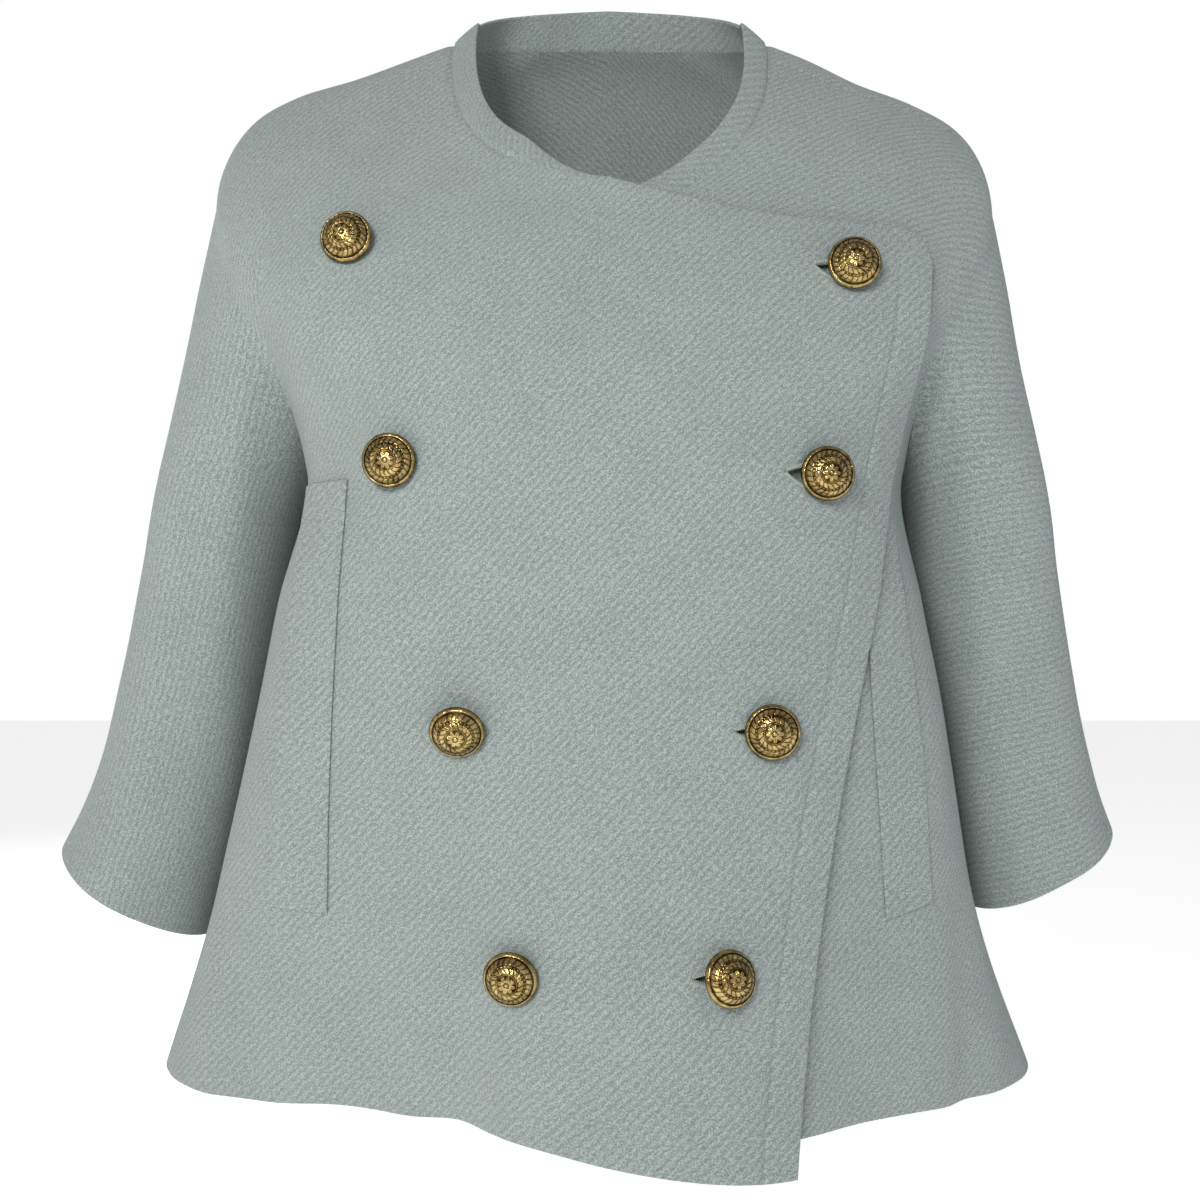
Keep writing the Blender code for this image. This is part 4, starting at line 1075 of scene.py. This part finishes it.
def add_forward_strip(piece, ahead):
    """The strip of the left sleeve's top between the shoulder ridge and the overarm seam."""
    weave = ahead.weave
    first = ahead.kept - 1
    held = near_neck(ahead.above)[:, None]
    for name, source, start in (("upper", "outer", ahead.split), ("tube", "tube", 0)):
        part = slice(start + first, None)
        normals = ahead.normals[name][:, part]
        base = ahead.grids[name][:, part]
        height = relief(base, normals, True)
        height = height * held if name == "upper" else height
        grid = base + normals * height[..., None]
        ends = {"top": 1.0, "start": 1.0} if name == "upper" else {"start": 1.0}
        free = {} if name == "upper" else {"bottom": 1.0}
        roll, groove = panel_edges(grid, free=free, sewn=ends)
        piece.add(grid, normals, weave[source][:, first:], ahead.turned, roll, groove)


COLLAR_TURN = 15.0


def band_weave(grid):
    """Weave coordinates of the neck band: along it and up it, turned a little."""
    along = np.linalg.norm(np.diff(grid, axis=1), axis=2)
    along = np.concatenate([np.zeros((len(grid), 1)), np.cumsum(along, axis=1)], axis=1)
    up = from_edge(grid, 0, 0)
    angle = math.radians(COLLAR_TURN)
    return np.stack([along * math.cos(angle) + up * math.sin(angle),
                     up * math.cos(angle) - along * math.sin(angle)], axis=-1)


def make_collar(name, lengths, cloth):
    """One length of the neck band, from (grid, normals, turned, free and sewn ends) rows."""
    piece = ClothPiece(name)
    for grid, normals, turned, free, sewn in lengths:
        height = 0.35 * unevenness(grid) * ease(0.0, 8.0, from_edge(grid, 0, 0))
        grid = grid + normals * height[..., None]
        roll, groove = panel_edges(grid, free, sewn)
        weave = band_weave(grid) * np.array([-1.0 if turned else 1.0, 1.0])
        piece.add(grid, normals, weave, turned, roll, groove)
    return piece.build(cloth)


def make_collars(bands, cloth):
    """The neck band in its three lengths."""
    made = []
    behind = []
    for side in (RIGHT, LEFT):
        band = bands[side]
        grid = band.grid.copy()
        ahead = band.share <= 1.0
        if side == LEFT:
            bottom = grid[0, ahead]
            grid[:, ahead] += under(slip(bottom, np.zeros(len(bottom)))) - bottom
        seam = int(np.argmin(np.abs(band.share - 1.0 - BAND_SEAM_SHARE)))
        start = BAND_TAPER[0] if side == RIGHT else BAND_LEFT_START
        first = int(np.argmax(np.abs(grid[0, :, 0]) > start))
        part = slice(first, seam + 1)
        lost = neck_seam_fade(side, grid[:, part, 0])
        free = {"bottom": 1.0} if side == RIGHT else {"bottom": 1.0, "start": 1.0}
        made.append(make_collar(of_side("collar_cloth", side), [
            (grid[:, part], band.normal[:, part], band.turned, free, {"top": lost, "end": 1.0})], cloth))
        behind.append((grid[:, seam:], band.normal[:, seam:], band.turned, {"bottom": 1.0},
                       {"top": 1.0, "start": 1.0}))
    made.append(make_collar("collar_cloth_back", behind, cloth))
    return made


def make_welt(name, side, corners, cloth):
    """A long pocket welt laid on its front and standing a little proud of it."""
    down = shares(WELT_ROWS, 228.0, True, True)[:, None, None]
    across = shares(WELT_STEPS, 30.0, True, True)[None, :, None]
    top_a, top_b, low_b, low_a = (np.array(corner) for corner in corners)
    top = (1 - across) * top_a + across * top_b
    low = (1 - across) * low_a + across * low_b
    place = (1 - down) * top + down * low
    x = place[..., 0]
    z = place[..., 1]
    points = front_point(x, z)
    normals = front_normal(x, z)
    height = relief(points, normals, True) + WELT_PROUD
    if side == LEFT:
        points = under(points)
    grid = points + normals * height[..., None]
    roll, groove = panel_edges(grid, free={"top": 1.0, "bottom": 1.0, "start": 1.0, "end": 1.0})
    piece = ClothPiece(name, WELT_THICK)
    weave = np.stack([x, z], axis=-1)
    piece.add(grid, normals, weave, False, roll, groove)
    return piece.build(cloth)


# ---------------------------------------------------------------- buttons and buttonholes
# Radius and height of the turned button, from the dome's middle out and round to its foot
BUTTON_PROFILE = ((0.0, 12.4), (2.5, 12.2), (4.8, 11.65), (6.8, 10.85), (8.4, 9.95), (9.6, 9.0), (10.6, 8.0),
                  (11.4, 6.95), (11.9, 6.15), (12.2, 5.95), (12.5, 6.15), (12.9, 6.0), (13.3, 5.6),
                  (13.7, 5.0), (14.0, 4.2))
BUTTON_BACK = ((13.9, 3.9), (12.8, 3.0), (2.2, 2.6), (2.2, 0.3))
DOME = 12.05
RELIEF_HEIGHT = 0.24
GROOVE = (12.2, 0.2)             # radius and half width of the groove round the dome
RIM = (12.3, 12.5)
RIM_FALL = (13.5, 14.0)
BACK_POLISH = 0.3
SMOOTHING = (1.0, 2.0, 3.0, 2.0, 1.0)
BUTTON_RINGS = 110
BUTTON_SIDES = 190
PETALS = 8
DOTS = 30
INNER_LEAVES = 17
OUTER_LEAVES = 24
HOLE_RADIUS = 3.7
HOLE_SIDES = 24
HOLE_DEPTH = 6.0
STITCH_PITCH = 0.95
STITCH_LENGTH = 2.1
# Rings of one stitch, from inside the hole out onto the cloth: reach past the cut, height, thickness
STITCH = ((-0.5, -1.2, 0.25), (0.5, 0.35, 0.42), (STITCH_LENGTH - 0.4, 0.3, 0.4), (STITCH_LENGTH, -0.6, 0.15))
STITCH_SIDES = 6
EDGE_STEP = 0.6                  # step along the cut that gives its direction
STITCHED_TO = 1.0                # the shank hides the hole's round end past this place
# Each buttonhole: its length, and how far its upper and lower edges are pulled open
HOLES = ((21.0, 0.3, 5.2), (23.0, 1.4, 4.0), (19.5, 0.4, 1.6), (16.0, 0.3, 0.8))


def button_relief(share, turn):
    """Raised pattern on the dome: a small eight-petal rosette round a boss, and a wreath of two
    rings of narrow leaves that slant against each other, with a ring of dots between them. Share
    is the radius over the dome's."""
    boss = ease(0.09, 0.06, share)
    petal = np.abs(np.cos(0.5 * PETALS * turn))
    outline = 0.18 + 0.20 * petal ** 0.7
    rosette = ease(0.02, -0.03, share - outline) * ease(0.11, 0.14, share)
    vein = 0.7 * bump(np.abs(np.sin(0.5 * PETALS * turn)), 0.0, 0.12) * rosette
    ring = 0.7 * bump(share, 0.43, 0.014)
    inner = np.abs(np.sin(0.5 * INNER_LEAVES * turn - 9.0 * share))
    inner = inner * (0.8 + 0.2 * np.sin(3.0 * turn + 25.0 * share))
    outer = np.abs(np.sin(0.5 * OUTER_LEAVES * turn + 8.0 * share))
    outer = outer * (0.8 + 0.2 * np.sin(4.0 * turn - 19.0 * share))
    inner = ease(0.1, 0.42, inner) * ease(0.46, 0.5, share) * ease(0.69, 0.65, share)
    outer = ease(0.1, 0.42, outer) * ease(0.77, 0.80, share) * ease(0.99, 0.94, share)
    dots = bump(share, 0.73, 0.028) * ease(-0.1, 0.55, np.cos(DOTS * turn))
    return 0.9 * (boss + rosette - vein + inner + outer) + 0.8 * dots + ring


def button_frame(x, z, turn, tip):
    """Where a button sits and its own axes: the third points out of the cloth, turned sideways
    and tipped down by the button's angles."""
    side = RIGHT if x < 0 else LEFT
    station = front_station(np.array(x), np.array(z), side)
    seat = hang(front_point(x, z + hem_drop(x, station)), station)
    normal = Vector(front_normal(np.array(x), np.array(z)).tolist())
    out = Matrix.Rotation(math.radians(turn), 3, "Z") @ Matrix.Rotation(math.radians(-tip), 3, "X") @ normal
    across = Vector((1.0, 0.0, 0.0))
    across = (across - out * across.dot(out)).normalized()
    return np.array(seat), np.array([across, out.cross(across), out]), normal


def polish(radius, share, raised):
    """How bright the metal is rubbed, from 0 to 1: the relief's tops and the rim, not the groove."""
    groove = bump(radius, *GROOVE)[:, None]
    rim = ease(*RIM, radius)[:, None] * (0.72 - 0.35 * ease(*RIM_FALL, radius)[:, None])
    inside = (share < 1.0) * (1.0 - 0.75 * groove)
    return np.clip(inside * (0.25 + 0.65 * raised) + rim, 0.0, 1.0)


def make_button(name, row, side, spin, brass):
    """A domed button: radius and height follow the profile, and the dome's relief is added."""
    seat, axes, _ = button_frame(*row)
    profile = np.array(BUTTON_PROFILE)
    radius = BUTTON_RADIUS * np.linspace(0.0, 1.0, BUTTON_RINGS) ** 0.9
    radius[0] = 0.02
    height = np.interp(radius, profile[:, 0], profile[:, 1])
    kernel = np.array(SMOOTHING) / sum(SMOOTHING)
    height = np.convolve(np.pad(height, 2, mode="edge"), kernel, mode="valid")
    turns = np.linspace(0.0, 2.0 * math.pi, BUTTON_SIDES, endpoint=False)
    share = radius[:, None] / DOME
    raised = button_relief(share, turns[None, :] + spin) * (share < 1.0)
    tilt = math.sin(math.radians(math.hypot(row[2], row[3])))
    rise = max(0.0, BUTTON_RADIUS * tilt - BUTTON_SLACK)
    back = np.array(BUTTON_BACK)
    shank, foot = back[-1]
    back[:-1, 1] += rise
    back[-1, 1] = foot + shank * tilt - (0.0 if side == RIGHT else UNDERLAY)
    rings = np.concatenate([radius, back[:, 0]])
    heights = np.concatenate([(height + rise)[:, None] + RELIEF_HEIGHT * raised,
                              np.repeat(back[:, 1:], BUTTON_SIDES, axis=1)])
    local = np.stack([rings[:, None] * np.cos(turns), rings[:, None] * np.sin(turns), heights], axis=-1)
    points = (seat + local @ axes).reshape(-1, 3)
    numbers = np.arange(len(points)).reshape(local.shape[:2])
    closed = np.concatenate([numbers, numbers[:, :1]], axis=1)
    ends = [numbers[0].tolist(), numbers[-1, ::-1].tolist()]
    mesh = bpy.data.meshes.new(name)
    mesh.from_pydata((points * MM).tolist(), [], grid_faces(closed).tolist() + ends)
    mark = np.concatenate([polish(radius, share, raised), np.full((len(back), BUTTON_SIDES), BACK_POLISH)])
    layer = mesh.attributes.new("polish", "FLOAT", "POINT")
    layer.data.foreach_set("value", mark.ravel().astype(np.float32))
    return new_piece(name, mesh, brass)


def hole_axes(row):
    """Where a buttonhole starts and its axes, flat on the cloth."""
    seat, _, normal = button_frame(*row)
    across = Vector((1.0, 0.0, 0.0))
    across = (across - normal * across.dot(normal)).normalized()
    return seat, np.array([across, normal.cross(across), normal])


def hole_outline(number):
    """A buttonhole pulled open: a round end about the shank, and an upper and a lower side that
    each bulge by their own measure on the way to the point."""
    length, above, below = HOLES[number]
    angles = np.radians(np.linspace(-90.0, 90.0, HOLE_SIDES))
    around = HOLE_RADIUS * np.stack([np.cos(angles), np.sin(angles)], axis=1)
    along = np.linspace(0.0, 1.0, HOLE_SIDES)[1:]
    straight = HOLE_RADIUS * (1.0 - along)
    bulge = np.sin(math.pi * along)
    far = -length * along
    top = np.stack([far, straight + above * bulge], axis=1)
    low = np.stack([far, -straight - below * bulge], axis=1)[::-1][1:]
    return np.concatenate([around, top, low])


def make_stitches(name, number, row, thread):
    """Close stitches all round a buttonhole. Each is a short thread that crosses the cut's
    edge, thickest in its middle."""
    seat, axes = hole_axes(row)
    outline = hole_outline(number)
    closed = np.concatenate([outline, outline[:1]])
    steps = np.concatenate([[0.0], np.cumsum(np.linalg.norm(np.diff(closed, axis=0), axis=1))])
    count = int(steps[-1] / STITCH_PITCH)
    places = np.linspace(0.0, steps[-1], count, endpoint=False)
    onward = (places + EDGE_STEP) % steps[-1]
    points = np.stack([np.interp(places, steps, closed[:, k]) for k in (0, 1)], axis=1)
    ahead = np.stack([np.interp(onward, steps, closed[:, k]) for k in (0, 1)], axis=1)
    along = ahead - points
    along /= np.linalg.norm(along, axis=1, keepdims=True)
    outwards = np.stack([along[:, 1], -along[:, 0]], axis=1)
    kept = points[:, 0] < STITCHED_TO
    points, along, outwards = points[kept], along[kept], outwards[kept]
    reach, level, girth = np.array(STITCH).T
    spin = np.linspace(0.0, 2.0 * math.pi, STITCH_SIDES, endpoint=False)
    flat = points[:, None] + outwards[:, None] * reach[None, :, None]
    flat = flat[:, :, None] + along[:, None, None] * (girth[:, None] * np.cos(spin))[None, :, :, None]
    high = (level[:, None] + girth[:, None] * np.sin(spin))[None] + np.zeros(flat.shape[:3])
    local = np.concatenate([flat, high[..., None]], axis=-1)
    world = seat + local @ axes
    numbers = np.arange(world[..., 0].size).reshape(world.shape[:3])
    ring = np.concatenate([numbers, numbers[:, :, :1]], axis=2)
    sides = np.stack([ring[:, :-1, :-1], ring[:, :-1, 1:], ring[:, 1:, 1:], ring[:, 1:, :-1]], axis=-1)
    ends = np.concatenate([numbers[:, 0], numbers[:, -1, ::-1]])
    mesh = bpy.data.meshes.new(name)
    mesh.from_pydata((world.reshape(-1, 3) * MM).tolist(), [], sides.reshape(-1, 4).tolist() + ends.tolist())
    return new_piece(name, mesh, thread)


def cut_holes(front, rows):
    """Cuts the four buttonholes through the outer front with one closed cutter each."""
    count = 3 * HOLE_SIDES - 3
    ring = np.arange(count)
    points = []
    faces = []
    for number, row in enumerate(rows):
        seat, axes = hole_axes(row)
        outline = hole_outline(number)
        start = 2 * count * number
        for level in (-HOLE_DEPTH, HOLE_DEPTH):
            local = np.column_stack([outline, np.full(count, level)])
            points.append(seat + local @ axes)
        low = ring + start
        high = low + count
        faces.append(low[::-1].tolist())
        faces.append(high.tolist())
        faces += np.stack([low, np.roll(low, -1), np.roll(high, -1), high], axis=1).tolist()
    mesh = bpy.data.meshes.new("hole cutter")
    mesh.from_pydata((np.concatenate(points) * MM).tolist(), [], faces)
    cutter = bpy.data.objects.new("hole cutter", mesh)
    bpy.context.collection.objects.link(cutter)
    cut = front.modifiers.new("buttonholes", "BOOLEAN")
    cut.operation = "DIFFERENCE"
    cut.object = cutter
    bpy.context.view_layer.update()
    ready = front.evaluated_get(bpy.context.evaluated_depsgraph_get())
    front.data = bpy.data.meshes.new_from_object(ready)
    front.modifiers.clear()
    bpy.data.objects.remove(cutter)


# ---------------------------------------------------------------- materials
class Nodes:
    """Short names for building a material's node tree."""

    def __init__(self, name):
        self.material = bpy.data.materials.new(name)
        self.material.use_nodes = True
        self.tree = self.material.node_tree
        self.shader = self.tree.nodes["Principled BSDF"]

    def add(self, kind, **settings):
        node = self.tree.nodes.new(kind)
        for name, value in settings.items():
            setattr(node, name, value)
        return node

    def join(self, source, target):
        self.tree.links.new(source, target)

    def put(self, value, socket):
        if hasattr(value, "is_linked"):
            self.join(value, socket)
        else:
            socket.default_value = value

    def math(self, operation, first, second=0.0, third=0.0):
        node = self.add("ShaderNodeMath", operation=operation)
        for value, socket in zip((first, second, third), node.inputs):
            self.put(value, socket)
        return node.outputs[0]

    def noise(self, vector, scale, detail=2.0, roughness=0.5):
        node = self.add("ShaderNodeTexNoise")
        self.join(vector, node.inputs["Vector"])
        node.inputs["Scale"].default_value = scale
        node.inputs["Detail"].default_value = detail
        node.inputs["Roughness"].default_value = roughness
        return node.outputs["Fac"]

    def ramp(self, value, stops):
        node = self.add("ShaderNodeValToRGB")
        self.join(value, node.inputs["Fac"])
        ramp = node.color_ramp
        while len(ramp.elements) < len(stops):
            ramp.elements.new(0.5)
        for element, (place, colour) in zip(ramp.elements, stops):
            element.position = place
            element.color = colour
        return node.outputs["Color"]

    def vector(self, x, y, z=0.0):
        node = self.add("ShaderNodeCombineXYZ")
        for value, socket in zip((x, y, z), node.inputs):
            self.put(value, socket)
        return node.outputs[0]

    def bump(self, height, distance, strength=1.0):
        node = self.add("ShaderNodeBump")
        self.join(height, node.inputs["Height"])
        node.inputs["Distance"].default_value = distance
        node.inputs["Strength"].default_value = strength
        return node.outputs["Normal"]


WOOL = (0.292, 0.344, 0.334)
WOOL_DARK_AND_SHADED = (0.70, 0.71, 0.71)   # shares of the wool's colour where the weave is low and where it is high: partly the yarn's own tone, partly painted shade in the hollows and a painted highlight on the nap's tips
WOOL_PALE_AND_LIT = (1.5, 1.48, 1.46)
WOOL_STOPS = (0.22, 0.5, 0.76)
RIB_PITCH = 3.8
DIAGONAL = 0.7071                # the ribs run up to the right at 45 degrees
RIB_SHARE = 0.115                # shares of the ribs, dashes, threads and nap in the cloth's height
DASH_SHARE = 1.45
THREAD_SHARE = 1.1
NAP_SHARE = 2.25
FLECK_START = 0.62
FLECK_SHARE = 4.5
SHADE_SHARE = 0.66
CLOUD_SHARE = 0.16
SHADE_MIDDLE = 1.17
THREAD = (0.42, 0.47, 0.44)


def wool_material():
    """Napped wool twill. The rib's shade is a sine of the distance across ribs that run up to
    the right, broken into short dashes by noise stretched along the ribs. Fine noise gives the
    nap, and slow noise its cloudiness. The same heights drive a fine bump."""
    n = Nodes("napped wool twill")
    place = n.add("ShaderNodeUVMap", uv_map="weave").outputs["UV"]
    apart = n.add("ShaderNodeSeparateXYZ")
    n.join(place, apart.inputs[0])
    u = n.math("MULTIPLY", apart.outputs["X"], 1000.0)
    v = n.math("MULTIPLY", apart.outputs["Y"], 1000.0)
    flat = n.vector(u, v)
    sway = n.math("MULTIPLY", n.math("SUBTRACT", n.noise(flat, 0.07, 2.0), 0.5), 3.0)
    jitter = n.math("MULTIPLY", n.math("SUBTRACT", n.noise(flat, 0.55, 2.0), 0.5), 1.6)
    straight = n.math("MULTIPLY", n.math("SUBTRACT", u, v), DIAGONAL)
    across = n.math("ADD", straight, n.math("ADD", sway, jitter))
    along = n.math("MULTIPLY", n.math("ADD", u, v), DIAGONAL)
    rib = n.math("SINE", n.math("MULTIPLY", across, 2.0 * math.pi / RIB_PITCH))
    dashes = n.noise(n.vector(across, n.math("MULTIPLY", along, 0.3)), 1.1, 2.0, 0.65)
    threads = n.noise(n.vector(n.math("MULTIPLY", across, 0.5), along), 1.3, 2.0, 0.6)
    nap = n.noise(flat, 1.25, 2.0, 0.65)
    cloud = n.noise(flat, 0.03, 3.0, 0.55)
    height = n.math("MULTIPLY_ADD", rib, RIB_SHARE, n.math("MULTIPLY", dashes, DASH_SHARE))
    height = n.math("ADD", height, n.math("MULTIPLY", threads, THREAD_SHARE))
    height = n.math("ADD", height, n.math("MULTIPLY", nap, NAP_SHARE))
    flecks = n.math("MULTIPLY", n.math("SUBTRACT", n.noise(flat, 0.9, 1.0), FLECK_START), FLECK_SHARE)
    shade = n.math("ADD", n.math("MULTIPLY", height, SHADE_SHARE), n.math("MULTIPLY", cloud, CLOUD_SHARE))
    shade = n.math("ADD", n.math("SUBTRACT", shade, SHADE_MIDDLE), n.math("MAXIMUM", flecks, 0.0))
    # The colour follows the same heights as the bump: darker where low and paler where high. This is partly
    # the yarn's own tone and partly painted shade in the hollows and a painted highlight on the raised nap.
    dark = tuple(part * share for part, share in zip(WOOL, WOOL_DARK_AND_SHADED)) + (1.0,)
    pale = tuple(part * share for part, share in zip(WOOL, WOOL_PALE_AND_LIT)) + (1.0,)
    colour = n.ramp(shade, tuple(zip(WOOL_STOPS, (dark, WOOL + (1.0,), pale))))
    n.join(colour, n.shader.inputs["Base Color"])
    n.shader.inputs["Roughness"].default_value = 0.94
    n.shader.inputs["Specular IOR Level"].default_value = 0.12
    n.shader.inputs["Sheen Weight"].default_value = 0.22
    n.shader.inputs["Sheen Roughness"].default_value = 0.55
    n.join(n.bump(height, 0.0006, 0.5), n.shader.inputs["Normal"])
    return n.material


def brass_material():
    """Old brass, dark in the hollows and rubbed bright on what stands out, with large dark patches that are
    partly tarnish and partly a painted dark reflection.
    """
    n = Nodes("antique brass")
    mark = n.add("ShaderNodeAttribute", attribute_name="polish").outputs["Fac"]
    spot = n.add("ShaderNodeTexCoord").outputs["Object"]
    # Large dark patches: partly tarnish, partly a painted dark reflection that stands in for the darker
    # studio the metal would mirror.
    tarnish_and_painted_reflection = n.math("MULTIPLY", n.math("SUBTRACT", n.noise(spot, 210.0, 3.0, 0.6), 0.5), 0.95)
    # Brightness of the metal: rubbed bright where raised and dark in the hollows, plus the tarnish and
    # painted dark reflection.
    wear_and_painted_reflection = n.math("ADD", n.math("MULTIPLY_ADD", mark, 0.85, -0.06), tarnish_and_painted_reflection)
    colour = n.ramp(wear_and_painted_reflection, ((0.04, (0.020, 0.011, 0.005, 1.0)), (0.40, (0.22, 0.145, 0.046, 1.0)),
                           (0.95, (0.84, 0.64, 0.29, 1.0))))
    n.join(colour, n.shader.inputs["Base Color"])
    n.shader.inputs["Metallic"].default_value = 1.0
    rough = n.math("MULTIPLY_ADD", wear_and_painted_reflection, -0.08, 0.24)
    n.join(rough, n.shader.inputs["Roughness"])
    n.join(n.bump(n.noise(spot, 650.0, 2.0, 0.6), 0.0005, 0.7), n.shader.inputs["Normal"])
    return n.material


def plain_material(name, colour, roughness):
    n = Nodes(name)
    n.shader.inputs["Base Color"].default_value = colour
    n.shader.inputs["Roughness"].default_value = roughness
    return n.material


# ---------------------------------------------------------------- the studio
def area_light(name, place, size, power, colour):
    lamp = bpy.data.lights.new(name, "AREA")
    lamp.shape = "DISK"
    lamp.size = size
    lamp.energy = power
    lamp.color = colour
    made = bpy.data.objects.new(name, lamp)
    made.location = place
    made.rotation_euler = (Vector(LOOKED_AT) - Vector(place)).to_track_quat("-Z", "Y").to_euler()
    bpy.context.collection.objects.link(made)
    return made


WORLD_LIGHT = 0.31
WORLD_SEEN = 1.0
FLOOR_GLOW = 0.60
FLOOR_HALF = 6.0
FLOOR_HEIGHT = -0.95
WHITE = (1.0, 1.0, 1.0, 1.0)
LOOKED_AT = (0.0, 0.0, -0.3)
# Each lamp: name, place, size and power, and colour
LAMPS = (
    ("key light", (-0.45, -1.3, 0.2), 0.42, 7.4, (1.0, 0.99, 0.965)),
    ("spark light", (-0.22, -1.3, 0.0), 0.1, 2.8, (1.0, 0.98, 0.95)),
    ("fill light", (1.6, -2.0, 0.9), 1.8, 1.5, (0.86, 0.93, 1.0)),
    ("warm side", (-2.5, -0.8, 0.2), 1.0, 3.5, (1.0, 0.84, 0.66)),
    ("back light", (-1.2, 2.2, 0.7), 0.9, 18.0, (1.0, 1.0, 1.0)),
    ("cool side", (2.5, -0.8, 0.2), 1.0, 1.6, (0.55, 0.8, 1.0)),
)


def studio():
    """A white room: pale floor, white surroundings, a near key a little to the left,
    a small bright lamp for the metal, a weak fill, and a warm and a cool lamp at the sides.
    A lamp behind shows the back."""
    corners = ((-1, -1), (1, -1), (1, 1), (-1, 1))
    floor = bpy.data.meshes.new("floor")
    floor.from_pydata([(x * FLOOR_HALF, y * FLOOR_HALF, FLOOR_HEIGHT) for x, y in corners], [],
                      [(0, 1, 2, 3)])
    pale = plain_material("studio floor", (0.9, 0.9, 0.9, 1.0), 0.9)
    shader = pale.node_tree.nodes["Principled BSDF"]
    shader.inputs["Emission Color"].default_value = WHITE
    shader.inputs["Emission Strength"].default_value = FLOOR_GLOW
    ground = new_piece("floor", floor, pale)
    world = bpy.data.worlds.new("studio")
    world.use_nodes = True
    background = world.node_tree.nodes["Background"]
    background.inputs["Color"].default_value = WHITE
    seen = world.node_tree.nodes.new("ShaderNodeLightPath").outputs["Is Camera Ray"]
    strength = world.node_tree.nodes.new("ShaderNodeMapRange")
    world.node_tree.links.new(seen, strength.inputs["Value"])
    strength.inputs["To Min"].default_value = WORLD_LIGHT
    strength.inputs["To Max"].default_value = WORLD_SEEN
    world.node_tree.links.new(strength.outputs["Result"], background.inputs["Strength"])
    bpy.context.scene.world = world
    bpy.context.scene.view_settings.view_transform = "Standard"
    [area_light(*lamp) for lamp in LAMPS]


EYE = (-0.005, -0.8, -0.335)


def camera():
    lens = bpy.data.cameras.new("camera")
    lens.lens = 40.0
    lens.sensor_width = 36.0
    lens.clip_start = 0.05
    made = bpy.data.objects.new("camera", lens)
    made.location = EYE
    made.rotation_euler = (math.pi / 2, 0.0, 0.0)
    bpy.context.collection.objects.link(made)
    bpy.context.scene.camera = made


def belongs(piece, nodes):
    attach(piece, "root")
    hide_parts(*nodes)
    return piece


def main():
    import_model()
    wool = wool_material()
    brass = brass_material()
    thread = plain_material("pale thread", THREAD + (1.0,), 0.8)
    quarters, bands = make_pattern()
    outer = make_front(RIGHT, quarters[RIGHT, True], wool, "front_right_cloth")
    cut_holes(outer, BUTTONS[LEFT])
    belongs(outer, ["front_right"])
    inner = make_front(LEFT, quarters[LEFT, True], wool, "front_left_cloth")
    belongs(inner, ["front_left"])
    back = belongs(make_back(quarters, wool), ["back"])
    band = belongs(make_edge_band(quarters[RIGHT, True], wool), ["front_edge_band"])
    right, left, behind = make_collars(bands, wool)
    for length, node in ((right, "collar_right"), (left, "collar_left"), (behind, "collar_back")):
        belongs(length, [node])
    welt_right = make_welt("welt_cloth_right", RIGHT, WELT_RIGHT, wool)
    belongs(welt_right, ["pocket_welt_right"])
    welt_left = make_welt("welt_cloth_left", LEFT, WELT_LEFT, wool)
    belongs(welt_left, ["pocket_welt_left"])
    for number, row in enumerate(BUTTONS[LEFT]):
        sewn = make_stitches("buttonhole_stitches_" + str(number + 1), number, row, thread)
        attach(sewn, "root")
    for side in (RIGHT, LEFT):
        for number, row in enumerate(BUTTONS[side], start=1):
            name = "button_" + SIDE_WORD[side] + "_" + str(number)
            belongs(make_button(name + "_metal", row, side, 0.7 * number + side, brass), [name])
    studio()
    camera()


main()
